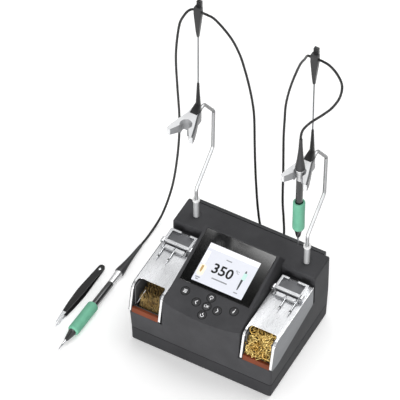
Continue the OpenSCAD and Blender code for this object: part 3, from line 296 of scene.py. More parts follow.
# The lit picture: flat tones with a little light of their own
SCREEN = print_ink("lit_display_ground", "d8dae2", 0.25, 0.1)
SCREEN_HEAD = print_ink("lit_display_head", "f0f0f3", 0.25, 0.15)
INK_BLACK = print_ink("display_black", "0a0a0b", 0.3)
INK_GREY = print_ink("display_grey", "8b8d92", 0.3, 0.05)
INK_DARK = print_ink("display_dark_grey", "3c4043", 0.3)
INK_TEAL = print_ink("display_pale_teal", "bcdcd6", 0.25, 0.15)
INK_TAN = print_ink("display_tan", "b39662", 0.3, 0.1)
INK_PEACH = print_ink("display_peach", "f3e2cf", 0.25, 0.22)
INKS = (SCREEN, SCREEN_HEAD, INK_BLACK, INK_GREY, INK_DARK, INK_TEAL, INK_TAN, INK_PEACH)
# The inks by their place in INKS
GROUND, HEAD, BLACK, GREY, DARK, TEAL, TAN, PEACH = range(len(INKS))
# White print on the keys and the rocker: matt
LEGEND = print_ink("white_legend", "ececee", 0.5)


# Mesh tools

def mesh_object(name, bm, *materials):
    mesh = bpy.data.meshes.new(name)
    bm.to_mesh(mesh)
    bm.free()
    obj = bpy.data.objects.new(name, mesh)
    bpy.context.scene.collection.objects.link(obj)
    for material in materials:
        mesh.materials.append(material)
    return obj


def smooth_by_angle(bm, angle):
    limit = math.radians(angle)
    for face in bm.faces:
        face.smooth = True
    for edge in bm.edges:
        edge.smooth = len(edge.link_faces) == 2 and edge.calc_face_angle(0) < limit


def solid_copy(node):
    """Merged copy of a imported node's mesh."""
    bm = bmesh.new()
    bm.from_mesh(nodes[node].data)
    bmesh.ops.remove_doubles(bm, verts=bm.verts, dist=2e-6)
    bm.normal_update()
    return bm


def put(obj, body, slot, *replaced):
    """Says which body carries a piece and which nodes it stands for, which it hides; slot is not used.
    """
    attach(obj, body)
    if replaced:
        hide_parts(*replaced)
    return obj


def even_shading(obj):
    """The broadest face sets the shading at each corner."""
    obj.modifiers.new("even shading", "WEIGHTED_NORMAL").keep_sharp = False


def round_edges(obj, width, angle, harden=False):
    """Rounds off the edges sharper than an angle by width mm."""
    bevel = obj.modifiers.new("rounded edges", "BEVEL")
    bevel.width = width * MM
    bevel.segments = 2
    bevel.limit_method = "ANGLE"
    bevel.angle_limit = math.radians(angle)
    bevel.use_clamp_overlap = False
    bevel.harden_normals = harden


def shaped(name, node, body, slot, materials, pick=None, width=0.0, angle=32, shell=False):
    """The node's own shape, smooth where it is round, with its edges rounded off by width mm.

    pick gives the number of the material of a face from its middle in mm and its normal. A large
    shell with broad faces takes even shading.
    """
    bm = solid_copy(node)
    if pick:
        for face in bm.faces:
            face.material_index = pick(face.calc_center_median() / MM, face.normal)
    smooth_by_angle(bm, angle)
    obj = mesh_object(name, bm, *materials)
    if width:
        round_edges(obj, width, angle, harden=not shell)
    if shell:
        even_shading(obj)
    return put(obj, body, slot, node)


def lathe(bm, profile, place, sides=48, material=0):
    """Turned shape along a profile of (radius, height) in mm, from end to end on the axis.

    A third number in a point changes the material from there on.
    """
    rings = []
    for radius, height in (point[:2] for point in profile):
        if radius == 0:
            rings.append([bm.verts.new(place @ mm(0, 0, height))])
        else:
            rings.append([bm.verts.new(place @ mm(radius * math.cos(2 * math.pi * k / sides),
                                                  radius * math.sin(2 * math.pi * k / sides), height))
                          for k in range(sides)])
    for point, a, b in zip(profile, rings, rings[1:]):
        material = point[2] if len(point) > 2 else material
        for k in range(sides):
            corners = [a[k % len(a)], a[(k + 1) % len(a)], b[(k + 1) % len(b)], b[k % len(b)]]
            corners = list(dict.fromkeys(corners))
            if len(corners) > 2:
                bm.faces.new(corners).material_index = material


def close_up(bm, angle=30):
    bmesh.ops.recalc_face_normals(bm, faces=bm.faces)
    smooth_by_angle(bm, angle)


def arc(x, y, radius, start, end, steps=6):
    """Points of an arc, its angles in degrees."""
    return [(x + radius * math.cos(math.radians(start + (end - start) * i / steps)),
             y + radius * math.sin(math.radians(start + (end - start) * i / steps)))
            for i in range(steps + 1)]


def flat(bm, outline, place, height, material=0):
    """Flat print: an outline of (x, y) in mm, at a height above its place."""
    face = bm.faces.new([bm.verts.new(place @ mm(x, y, height)) for x, y in outline])
    face.material_index = material


def stroke(bm, path, width, place, height, material=0):
    """A line of even width through the points of path."""
    for (x0, y0), (x1, y1) in zip(path, path[1:]):
        span = math.hypot(x1 - x0, y1 - y0)
        nx = -(y1 - y0) / span * width / 2
        ny = (x1 - x0) / span * width / 2
        flat(bm, [(x0 + nx, y0 + ny), (x0 - nx, y0 - ny), (x1 - nx, y1 - ny), (x1 + nx, y1 + ny)],
             place, height, material)


def rounded_box(x0, y0, x1, y1, radius):
    return (arc(x0 + radius, y0 + radius, radius, 180, 270)
            + arc(x1 - radius, y0 + radius, radius, 270, 360)
            + arc(x1 - radius, y1 - radius, radius, 0, 90)
            + arc(x0 + radius, y1 - radius, radius, 90, 180))


def letters(bm, text, middle, size, place, height, material, bold, width=None):
    """Figures or letters as a flat mesh, size mm high and width mm wide, made thicker by bold."""
    curve = bpy.data.curves.new("letters", "FONT")
    curve.body = text
    curve.align_x = "CENTER"
    curve.align_y = "CENTER"
    curve.offset = bold
    curve.resolution_u = 3
    obj = bpy.data.objects.new("letters", curve)
    mesh = bpy.data.meshes.new_from_object(obj)
    extra = bmesh.new()
    extra.from_mesh(mesh)
    low = min(v.co.y for v in extra.verts)
    high = max(v.co.y for v in extra.verts)
    left = min(v.co.x for v in extra.verts)
    right = max(v.co.x for v in extra.verts)
    grow = size / (high - low)
    widen = grow if width is None else width / (right - left)
    made = {}
    for vert in extra.verts:
        x = middle[0] + (vert.co.x - (left + right) / 2) * widen
        y = middle[1] + (vert.co.y - (low + high) / 2) * grow
        made[vert] = bm.verts.new(place @ mm(x, y, height))
    for face in extra.faces:
        bm.faces.new([made[v] for v in face.verts]).material_index = material
    extra.free()
    bpy.data.objects.remove(obj)
    bpy.data.meshes.remove(mesh)
    bpy.data.curves.remove(curve)


def facing(bm, direction):
    """Turns flat print so that all of it faces one way."""
    bm.normal_update()
    for face in bm.faces:
        if face.normal.dot(direction) < 0:
            face.normal_flip()


def spread(route, steps):
    """Points of a smooth curve through a route, the same curve as the solids follow."""
    points = [Vector(p) for p in route]
    last = len(points) - 1
    out = []
    for i in range(last):
        a, b = points[max(0, i - 1)], points[i]
        c, d = points[i + 1], points[min(last, i + 2)]
        for j in range(steps):
            t = j / steps
            out.append(0.5 * (2 * b + (c - a) * t + (2 * a - 5 * b + 4 * c - d) * t * t
                              + (3 * b - a - 3 * c + d) * t ** 3))
    out.append(points[last])
    return [p * MM for p in out]


def tube(bm, points, radius, sides=16):
    """Closed round tube along points, with its rings turned as little as possible."""
    along = [(points[min(i + 1, len(points) - 1)] - points[max(i - 1, 0)]).normalized()
             for i in range(len(points))]
    side = along[0].orthogonal().normalized()
    rings = []
    for p, w in zip(points, along):
        side = (side - w * side.dot(w)).normalized()
        other = w.cross(side)
        rings.append([bm.verts.new(p + radius * (math.cos(2 * math.pi * k / sides) * side
                                                 + math.sin(2 * math.pi * k / sides) * other))
                      for k in range(sides)])
    for a, b in zip(rings, rings[1:]):
        for k in range(sides):
            bm.faces.new((a[k], a[(k + 1) % sides], b[(k + 1) % sides], b[k]))
    bm.faces.new(reversed(rings[0]))
    bm.faces.new(rings[-1])


# Camera: at the photograph's place

camera = bpy.data.objects.new("camera", bpy.data.cameras.new("camera"))
bpy.context.scene.collection.objects.link(camera)
camera.location = (1.5309, -2.8762, 4.1333)
camera.rotation_euler = (math.radians(39.97), 0, math.radians(28.68))
camera.data.lens = 374.6
camera.data.sensor_width = 36
camera.data.clip_start = 0.1
camera.data.clip_end = 50
bpy.context.scene.camera = camera

# Cords: the routes of the solids, in millimetres, cut where a holder's clip carries them

LEFT_A = [(-16, 106.4, 48), (-16.1, 111.6, 48.6), (-18, 117, 55.4), (-22, 119.6, 68), (-25, 120.6, 90),
          (-27, 121, 114), (-30, 122, 159), (-31, 121, 207), (-30.6, 118, 259), (-30.5, 114, 289),
          (-32.4, 108, 327), (-35.7, 101, 366), (-39, 94, 398), (-44.5, 85, 430), (-53, 77, 455),
          (-61.5, 69.5, 474.5), (-66.5, 63.4, 483.6), (-72.4, 61, 487), (-84.4, 61, 487)]
LEFT_B = [(-89.4, 57.6, 485.4), (-92.8, 52.4, 480), (-96.2, 47.5, 468), (-100.8, 48.4, 431),
          (-106, 55.5, 390), (-113, 71, 326), (-121.5, 91, 246), (-129, 104, 192)]
LEFT_C = [(-136.5, 112.5, 137), (-145, 117.5, 80), (-152, 116, 41), (-157, 108, 15), (-159.6, 96, 4.4),
          (-160.2, 84, 2.2), (-160.1, 73, 2.6), (-159.73, 60.54, 5.05), (-160.06, 50.75, 5.26)]
RIGHT_A = [(14, 106.4, 48), (14, 111.6, 48.6), (14, 117, 55.4), (13.6, 119.4, 68), (12, 120.2, 93),
           (10, 120.5, 125), (9.6, 121, 182), (10.3, 118.8, 223), (11.8, 115.6, 257), (14.4, 112, 289),
           (18.8, 106, 328), (30, 96, 378), (46.6, 84, 434), (58, 75, 461), (66, 65.2, 480.4),
           (72.4, 61, 487), (84.4, 61, 487)]
RIGHT_B = [(90, 59.6, 488.6), (100.7, 56, 490.5), (112.5, 52, 486), (121.3, 48, 475)]
RIGHT_C = [(121, 44, 457.5), (113.6, 40, 439), (102.7, 37, 423), (95.4, 34.6, 414), (88, 32.2, 404.5),
           (81.2, 30.4, 392), (78.4, 30, 380), (78.4, 30, 367.2)]
STEPS = 6


def lay_cord(name, route, start, end, bodies, joined, ends=None):
    """The stretch of a cord between two of its route's points: with ends given it stays where it lies,
    else it rides on its one body.
    """
    points = spread(route, STEPS)[start * STEPS:end * STEPS + 1]
    bm = bmesh.new()
    tube(bm, points, CORD_D / 2 * MM)
    close_up(bm, 50)
    obj = mesh_object(name, bm, CORD)
    if ends:
        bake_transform(obj)
    else:
        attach(obj, *bodies)
    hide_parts(joined)


left_route = LEFT_A + LEFT_B + LEFT_C
right_route = RIGHT_A + RIGHT_B + RIGHT_C
clip_left = len(LEFT_A) - 1
low_left = clip_left + len(LEFT_B)
clip_right = len(RIGHT_A) - 1
side_right = clip_right + len(RIGHT_B)
lay_cord("cord_left_rising", left_route, 0, clip_left, ("housing", "holder_left"),
         "cord_left", (mm(-30, 118, 259), mm(-84, 61, 487)))
lay_cord("cord_left_falling", left_route, clip_left, low_left, ("holder_left", "housing"),
         "cord_left", (mm(-84, 61, 487), mm(-129, 104, 192)))
lay_cord("cord_left_on_table", left_route, low_left, len(left_route) - 1,
         ("housing", "handpiece_left"), "cord_left", (mm(-145, 110, 192), mm(-145, 110, 20)))
lay_cord("cord_right_rising", right_route, 0, clip_right, ("housing", "holder_right"),
         "cord_right", (mm(14, 112, 289), mm(84, 61, 487)))
lay_cord("cord_right_loop", right_route, clip_right, side_right, ("holder_right",),
         "cord_right")
lay_cord("cord_right_falling", right_route, side_right, len(right_route) - 1,
         ("holder_right", "handpiece_right"), "cord_right", (mm(121.3, 44, 475), mm(78.4, 44, 475)))

# Floor, light and background

floor_material = bpy.data.materials.new("plain_pale_floor")
floor_tree = new_tree(floor_material)
ground = add(floor_tree, "ShaderNodeBsdfDiffuse", values={"Color": linear("f2f2f2")})
floor_place = add(floor_tree, "ShaderNodeTexCoord")
distance = add(floor_tree, "ShaderNodeVectorMath", {0: floor_place.outputs["Object"]},
               operation="LENGTH")
far = add(floor_tree, "ShaderNodeMapRange", {"Value": distance.outputs["Value"]},
          {"From Min": 0.6, "From Max": 2.5, "To Min": 0.25, "To Max": 1.0})
glow = add(floor_tree, "ShaderNodeEmission", {"Strength": far.outputs[0]}, {"Color": (1, 1, 1, 1)})
lit = add(floor_tree, "ShaderNodeAddShader", {0: ground.outputs[0], 1: glow.outputs[0]})
rays = add(floor_tree, "ShaderNodeLightPath")
seen = add(floor_tree, "ShaderNodeMath",
           {0: rays.outputs["Is Camera Ray"], 1: rays.outputs["Is Glossy Ray"]}, operation="MAXIMUM")
seen_or_through = add(floor_tree, "ShaderNodeMath",
                      {0: seen.outputs[0], 1: rays.outputs["Is Transmission Ray"]}, operation="MAXIMUM")
floor_mix = add(floor_tree, "ShaderNodeMixShader",
                {0: seen_or_through.outputs[0], 1: ground.outputs[0], 2: lit.outputs[0]})
add(floor_tree, "ShaderNodeOutputMaterial", {"Surface": floor_mix.outputs[0]})
floor_bm = bmesh.new()
bmesh.ops.create_grid(floor_bm, x_segments=2, y_segments=2, size=6)
floor = mesh_object("floor", floor_bm, floor_material)
floor.location.z = -0.0002


def soft_lamp(name, place, size, power):
    """Area lamp, turned to the middle of the housing."""
    lamp = bpy.data.lights.new(name, "AREA")
    lamp.shape = "RECTANGLE"
    lamp.size, lamp.size_y = size
    lamp.energy = power
    obj = bpy.data.objects.new(name, lamp)
    obj.location = place
    obj.rotation_euler = (Vector((0, 0, 0.1)) - Vector(place)).to_track_quat("-Z", "Y").to_euler()
    bpy.context.scene.collection.objects.link(obj)


# The overhead lamp also gives the soft light corner on the display's glass
soft_lamp("overhead", (0.05, 0.32, 1.4), (1.0, 0.6), 7.5)
soft_lamp("behind", (0.35, 1.3, 1.7), (0.7, 0.7), 9)
soft_lamp("fill", (-1.6, -1.8, 1.9), (2.0, 2.0), 6)
soft_lamp("front", (0.3, -2.75, 0.6), (1.5, 1.1), 60)

# The studio round it: white to the camera, grey to the surfaces, and for gloss a bright band
# from the walls, which is dark at the horizon and under the ceiling
world = bpy.data.worlds.new("studio")
world_tree = new_tree(world)
world_rays = add(world_tree, "ShaderNodeLightPath")
world_seen = add(world_tree, "ShaderNodeMath",
                 {0: world_rays.outputs["Is Camera Ray"], 1: world_rays.outputs["Is Transmission Ray"]},
                 operation="MAXIMUM")
world_way = add(world_tree, "ShaderNodeTexCoord")
world_split = add(world_tree, "ShaderNodeSeparateXYZ", {0: world_way.outputs["Generated"]})
world_band = ramp(world_tree, world_split.outputs["Z"],
                  *((height, (tone, tone, tone, 1)) for height, tone in
                    ((0.0, 0.25), (0.35, 0.85), (0.6, 0.95), (0.85, 0.95), (0.93, 0.04))))
soft = add(world_tree, "ShaderNodeBackground", values={"Color": (1, 1, 1, 1), "Strength": 0.42})
band = add(world_tree, "ShaderNodeBackground", {"Color": world_band}, {"Strength": 1.0})
white = add(world_tree, "ShaderNodeBackground", values={"Color": (1, 1, 1, 1), "Strength": 1.0})
gloss = add(world_tree, "ShaderNodeMixShader",
            {0: world_rays.outputs["Is Glossy Ray"], 1: soft.outputs[0], 2: band.outputs[0]})
both = add(world_tree, "ShaderNodeMixShader",
           {0: world_seen.outputs[0], 1: gloss.outputs[0], 2: white.outputs[0]})
add(world_tree, "ShaderNodeOutputWorld", {"Surface": both.outputs[0]})
bpy.context.scene.world = world
bpy.context.scene.view_settings.view_transform = "Standard"

# Geometry trees

def geometry_tree(name, *sockets):
    """Empty tree with a geometry input and the named inputs, each (name, kind)."""
    tree = bpy.data.node_groups.new(name, "GeometryNodeTree")
    tree.interface.new_socket("Geometry", in_out="INPUT", socket_type="NodeSocketGeometry")
    for socket, kind in sockets:
        tree.interface.new_socket(socket, in_out="INPUT", socket_type=kind)
    tree.interface.new_socket("Geometry", in_out="OUTPUT", socket_type="NodeSocketGeometry")
    return tree, add(tree, "NodeGroupInput").outputs


def grown(obj, tree, **sizes):
    """Runs a tree on an object and keeps its result as the object's plain mesh."""
    modifier = obj.modifiers.new(tree.name, "NODES")
    modifier.node_group = tree
    for item in tree.interface.items_tree:
        if item.in_out == "INPUT" and item.name in sizes:
            modifier[item.identifier] = sizes[item.name]
    view = bpy.context.evaluated_depsgraph_get()
    mesh = bpy.data.meshes.new_from_object(obj.evaluated_get(view), depsgraph=view)
    obj.modifiers.remove(modifier)
    obj.data = mesh
    return obj


def seen_faces(tree):
    """The faces that look up or to the front."""
    normal = add(tree, "GeometryNodeInputNormal")
    way = add(tree, "ShaderNodeVectorMath", {0: normal.outputs[0]}, {1: (0, -1, 1)},
              operation="DOT_PRODUCT")
    return add(tree, "FunctionNodeCompare", {0: way.outputs["Value"]}, {1: 0.3},
               operation="GREATER_THAN").outputs[0]


def curled_strip(tree, inputs):
    """A curl of flat strip, as a lathe turns it off."""
    small = add(tree, "ShaderNodeMath", {0: inputs["Curl"]}, {1: 0.55}, operation="MULTIPLY")
    curl = add(tree, "GeometryNodeCurveSpiral",
               {"Start Radius": small.outputs[0], "End Radius": inputs["Curl"],
                "Height": inputs["Curl"]}, {"Resolution": 9, "Rotations": 1.4})
    thin = add(tree, "ShaderNodeMath", {0: inputs["Strip"]}, {1: 0.3}, operation="MULTIPLY")
    section = add(tree, "GeometryNodeCurvePrimitiveQuadrilateral",
                  {"Width": thin.outputs[0], "Height": inputs["Strip"]}, mode="RECTANGLE")
    return add(tree, "GeometryNodeCurveToMesh",
               {"Curve": curl.outputs["Curve"], "Profile Curve": section.outputs["Curve"]}).outputs[0]


def one_bristle(tree, inputs):
    """A pointed bristle."""
    fine = add(tree, "ShaderNodeMath", {0: inputs["Thickness"]}, {1: 0.5}, operation="MULTIPLY")
    return add(tree, "GeometryNodeMeshCone",
               {"Radius Top": fine.outputs[0], "Radius Bottom": inputs["Thickness"],
                "Depth": inputs["Length"]}, {"Vertices": 4}).outputs["Mesh"]


def strand_tree(name, sizes, strand, turns, growth, bright, dark):
    """Copies of a strand, turned and sized at random within limits, over a core coloured dark as
    painted shade.
    """
    tree, inputs = geometry_tree(name, *((size, "NodeSocketFloat") for size in ("Density", *sizes)),
                                 ("Seed", "NodeSocketInt"))
    places = add(tree, "GeometryNodeDistributePointsOnFaces",
                 {"Mesh": inputs["Geometry"], "Density": inputs["Density"], "Seed": inputs["Seed"],
                  "Selection": seen_faces(tree)})
    turn = add(tree, "FunctionNodeRandomValue", {"Seed": inputs["Seed"]},
               {"Min": turns[0], "Max": turns[1]}, data_type="FLOAT_VECTOR")
    size = add(tree, "FunctionNodeRandomValue", {"Seed": inputs["Seed"]},
               {2: growth[0], 3: growth[1]}, data_type="FLOAT")
    copies = add(tree, "GeometryNodeInstanceOnPoints",
                 {"Points": places.outputs["Points"], "Instance": strand(tree, inputs),
                  "Rotation": turn.outputs["Value"], "Scale": size.outputs[1]})
    plain = add(tree, "GeometryNodeRealizeInstances", {0: copies.outputs[0]})
    strands = add(tree, "GeometryNodeSetMaterial", {"Geometry": plain.outputs[0]},
                  {"Material": bright})
    core = add(tree, "GeometryNodeSetMaterial", {"Geometry": inputs["Geometry"]}, {"Material": dark})
    joined = add(tree, "GeometryNodeJoinGeometry", {0: strands.outputs[0]})
    tree.links.new(core.outputs[0], joined.inputs[0])
    add(tree, "NodeGroupOutput", {0: joined.outputs[0]})
    return tree


def screw_tree(head):
    """The same screw head at every point, along the point's own direction."""
    tree, inputs = geometry_tree("screw_head_tree", ("Size", "NodeSocketFloat"))
    screw = add(tree, "GeometryNodeObjectInfo", values={"Object": head})
    facing_way = add(tree, "GeometryNodeInputNamedAttribute", values={"Name": "facing"},
                     data_type="FLOAT_VECTOR")
    turn = add(tree, "FunctionNodeAlignEulerToVector", {"Vector": facing_way.outputs[0]}, axis="Z")
    heads = add(tree, "GeometryNodeInstanceOnPoints",
                {"Points": inputs["Geometry"], "Instance": screw.outputs["Geometry"],
                 "Rotation": turn.outputs[0], "Scale": inputs["Size"]})
    plain = add(tree, "GeometryNodeRealizeInstances", {0: heads.outputs[0]})
    done = add(tree, "GeometryNodeSetMaterial", {"Geometry": plain.outputs[0]}, {"Material": SCREW})
    add(tree, "NodeGroupOutput", {0: done.outputs[0]})
    return tree


# Housing

shaped("housing_shell", "upper_housing", "housing", "housing", [HOUSING], width=0.35, shell=True)
# The base's lip above SEAM_Z takes GAP, painted shade, as it stands in the seam below the cover
shaped("base_shell", "base", "housing", "housing", [BASE, GAP],
       lambda middle, normal: int(middle.z > SEAM_Z), width=0.35, shell=True)
shaped("foot_pads", "feet", "housing", "rubber", [FOOT], width=0.2)

# Painted shade: a dark ring on the face round each key, where the gap between key and housing lies in
# shade
key_gap_shade_bm = bmesh.new()
for x, v in KEYS.values():
    lathe(key_gap_shade_bm, [(5.2, 0.03), (6.1, 0.03)], ON_FACE @ Matrix.Translation(mm(x, v, 0)))
facing(key_gap_shade_bm, FACE_WAY)
put(mesh_object("key_gaps", key_gap_shade_bm, GAP), "housing", "housing")

# Display: the glass, and on it the lit picture with its figures and marks

shaped("window_plate", "display_window", "housing", "window", [WINDOW], width=0.3)

# Heights of the picture's layers over the face
LOW, MID, HIGH = 0.05, 0.1, 0.15
picture = bmesh.new()
flat(picture, rounded_box(-35.3, 2.3, 35.3, 57, 0.4), ON_FACE, LOW, GROUND)
for outline, ink, height in (
        (rounded_box(-35.2, 49.9, 35.2, 56.9, 0.3), HEAD, MID),
        (rounded_box(-34.8, 28, -28.8, 46, 0.6), HEAD, MID),
        (rounded_box(-33.6, 11, -24.8, 27, 4), PEACH, MID),
        ([(-31, 25.4), (-31.2, 20), (-30.5, 16), (-28.8, 16), (-28.1, 20), (-28.3, 25.4)], TAN, HIGH),
        ([(22.5, 36.6), (25.2, 36.6), (24.8, 39), (23.9, 40.6), (23, 39)], DARK, MID),
        (rounded_box(22.3, 27.2, 27.2, 36.6, 0.3), TEAL, MID),
        ([(22.4, 27.2), (25.3, 27.2), (25, 17), (24.5, 12.2), (23.3, 12.2), (22.8, 17)], DARK, MID)):
    flat(picture, outline, ON_FACE, height, ink)
for path, width in (
        ([(-32.4, 8.4), (-26.2, 8.4)], 1.5),
        ([(-31.2, 5.8), (-27.6, 5.8)], 1.5),
        ([(-6.4, 43.1), (1.4, 43.1)], 1.4),
        (arc(12.4, 35, 0.8, 0, 360, 12), 0.5),
        ([(-12.4, 14), (9, 14)], 1.7),
        ([(21.2, 8), (26.6, 8)], 1.4)):
    stroke(picture, path, width, ON_FACE, MID, GREY)
letters(picture, "350", (-3.3, 27.5), 14, ON_FACE, MID, BLACK, 0.022, width=28)
letters(picture, "C", (15, 33.6), 3.8, ON_FACE, MID, GREY, 0.01)
facing(picture, FACE_WAY)
put(mesh_object("lit_picture", picture, *INKS), "housing", "lcd")

# Keys: a dished cap with a rounded rim, its flange and stem, and the white legend

KEY_PROFILE = ([(0, -5.8), (1.8, -5.8), (1.8, -3.7), (6, -3.7), (6, -2.75), (5.2, -2.75),
                (5.2, -0.2)]
               + arc(4.7, -0.2, 0.5, 0, 90, 5) + [(4.1, 0.2), (3, 0.08), (1.5, 0), (0, -0.02)])


# Height of a legend over the face, and its material's number
LEGEND_Z = 0.12
PRINT = 1


def legend(bm, name, place):
    """The sign on a key: bars, arrows in a ring, arrows, letters or an i."""
    lines = []
    arrow = None
    if name == "menu":
        lines = [([(-2.3, y), (2.3, y)], 0.9) for y in (1.7, 0, -1.7)]
    elif name == "up":
        lines = [(arc(0, 0.5, 2.1, -30, 210, 12), 0.8), ([(0, -2.8), (0, -1.6)], 0.8)]
        arrow = [(-1, -1.6), (1, -1.6), (0, 0.4)]
    elif name == "down":
        lines = [(arc(0, -0.3, 2.1, 150, 390, 12), 0.8), ([(0, 1.8), (0, 3)], 0.8)]
        arrow = [(-1, 1.8), (1, 1.8), (0, -0.2)]
    elif name == "left":
        lines = [([(1, 2.7), (-1.3, 0), (1, -2.7)], 0.9)]
    elif name == "right":
        lines = [([(-1, 2.7), (1.3, 0), (-1, -2.7)], 0.9)]
    elif name == "info":
        lines = [([(-0.6, -2.6), (0.3, 1.3)], 1.2), ([(0.35, 2.2), (0.6, 3.2)], 1.2)]
    else:
        letters(bm, "OK", (0, 0.2), 3.6, place, LEGEND_Z, PRINT, 0.01, width=7)
    for path, width in lines:
        stroke(bm, path, width, place, LEGEND_Z, PRINT)
    if arrow:
        flat(bm, arrow, place, LEGEND_Z, PRINT)


for name, (x, v) in KEYS.items():
    place = ON_FACE @ Matrix.Translation(mm(x, v, 0))
    print_bm = bmesh.new()
    legend(print_bm, name, place)
    facing(print_bm, FACE_WAY)
    print_mesh = bpy.data.meshes.new("legend")
    print_bm.to_mesh(print_mesh)
    print_bm.free()
    key_bm = bmesh.new()
    lathe(key_bm, KEY_PROFILE, place)
    close_up(key_bm)
    key_bm.from_mesh(print_mesh)
    bpy.data.meshes.remove(print_mesh)
    put(mesh_object("key_cap_" + name, key_bm, KEY, LEGEND), "key_" + name, "key", "button_" + name)

# Trays, racks and the cartridges parked in them

for side, s in SIDES:
    def sheet_finish(middle, normal, s=s):
        """1 for painted shade on the sheet's outer side, 2 for painted highlight on its front legs and
        cut edges.
        """
        x = middle.x * s
        if x > HALF_W - 0.2 and abs(normal.x) > 0.9:
            return 1
        leg = middle.y < LEG_Y and normal.y < -0.3
        edge = min(abs(x - MOUTH_X[0]), abs(x - MOUTH_X[1])) < 0.1
        return 2 if leg or edge or normal.y < -0.9 else 0

    def rack_finish(middle, normal):
        """1 for painted shade in the recess in the rack's top, 2 for painted shade in the gap behind
        its front lip.
        """
        if normal.z < 0.9 or middle.z > TRAY_Z + 7:
            return 0
        if middle.y > LIP_Y + 4.5:
            return 1
        return 2 if LIP_Y - 1.5 < middle.y < LIP_Y and middle.z < TRAY_Z + 4 else 0

    shaped("tray_sheet_" + side, "tray_cover_" + side, "cover_" + side, "stainless",
           [STEEL, STEEL_SIDE_SHADE, EDGE_HIGHLIGHT], sheet_finish, width=0.2)
    shaped("rack_frame_" + side, "cartridge_rack_" + side, "cover_" + side, "rack",
           [CAST, RECESS_SHADE, GAP], rack_finish, width=0.3)
    # A thin round along the bend at each cover's outer edge, coloured as painted reflection: dark on
    # the left cover, white painted highlight on the right
    fold = bmesh.new()
    path = [(31.8, TRAY_Z), (0, TRAY_Z), (-30, TRAY_Z)]
    path += arc(-62.4, TRAY_Z - 10, 10, 90, 168.7) + [(-78.8, 59)]
    tube(fold, [mm((HALF_W - 0.1) * s, y, z) for y, z in path], 0.4 * MM, 8)
    close_up(fold, 50)
    put(mesh_object("fold_line_" + side, fold, FOLD_REFLECTION if s < 0 else EDGE_HIGHLIGHT), "cover_" + side,
        "stainless")
    rods = bmesh.new()
    for x in PARKED_X:
        place = (Matrix.Translation(mm(x * s, LIP_Y + 1, TRAY_Z + 2.6))
                 @ Matrix.Rotation(math.radians(92.6), 4, "X"))
        lathe(rods, [(0, -8), (1, -8), (1, 19.6, 1), (1.3, 19.7), (1.3, 22, 0), (0.85, 22.1),
                     (0.7, 23), (0.25, 28.6), (0, 28.9)], place, 24)
    close_up(rods)
    put(mesh_object("parked_rods_" + side, rods, TUBE, HANDLE), "cover_" + side, "cartridge",
        "parked_cartridges_" + side)
    shaped("wiping_strip_" + side, "wiper_" + side, "housing", "silicone", [SILICONE], width=0.4)
    shaped("insert_cup_" + side, "cup_" + side, "housing", "cup", [CUP], width=0.3)

# Cleaning inserts, and the wire that holds the brush


def insert_core(node, amount, from_z, drop):
    """The node's block, drawn in by amount and then lowered by drop above from_z, all in mm."""
    bm = solid_copy(node)
    bmesh.ops.dissolve_limit(bm, angle_limit=math.radians(1), verts=bm.verts, edges=bm.edges)
    bm.normal_update()
    moves = {v: v.normal * amount * MM for v in bm.verts if v.co.z > from_z * MM}
    for vert, move in moves.items():
        vert.co -= move
    for vert in bm.verts:
        if vert.co.z > from_z * MM:
            vert.co.z -= drop * MM
    bmesh.ops.triangulate(bm, faces=bm.faces)
    return bm


wool_bm = insert_core("brass_wool", 2.4, 0, 0)
turnings = strand_tree("brass_turnings_tree", ("Curl", "Strip"), curled_strip,
                       ((0, 0, 0), (6.283, 6.283, 6.283)), (0.6, 1.3), BRASS, BRASS_DEPTH)
wool = grown(mesh_object("brass_wool_turnings", wool_bm, BRASS_DEPTH), turnings,
             Density=190000.0, Curl=0.0046, Strip=0.0013, Seed=4)
put(wool, "housing", "brass", "brass_wool")

brush_bm = insert_core("brass_brush", 1.6, BRUSH_Z, 5)
bristles = strand_tree("brass_bristle_tree", ("Length", "Thickness"), one_bristle,
                       ((-0.28, -0.28, 0), (0.28, 0.28, 3.1)), (0.75, 1.1), BRISTLE, BRISTLE_ROOT)
brush = grown(mesh_object("brass_brush_bristles", brush_bm, BRISTLE_ROOT), bristles,
              Density=420000.0, Length=0.0075, Thickness=0.00032, Seed=7)
put(brush, "housing", "brass", "brass_brush")
stem_bm = bmesh.new()
tube(stem_bm, [mm(-94.2, -70.1, 50), mm(-94.2, -70.3, 62), mm(-94, -70.3, 65), mm(-90, -66, 75.8),
                mm(-85.8, -61.5, 87.3)], 0.7 * MM, 12)
close_up(stem_bm, 50)
put(mesh_object("brush_stem", stem_bm, BARE), "housing", "brass")

# Cord arms and their holders

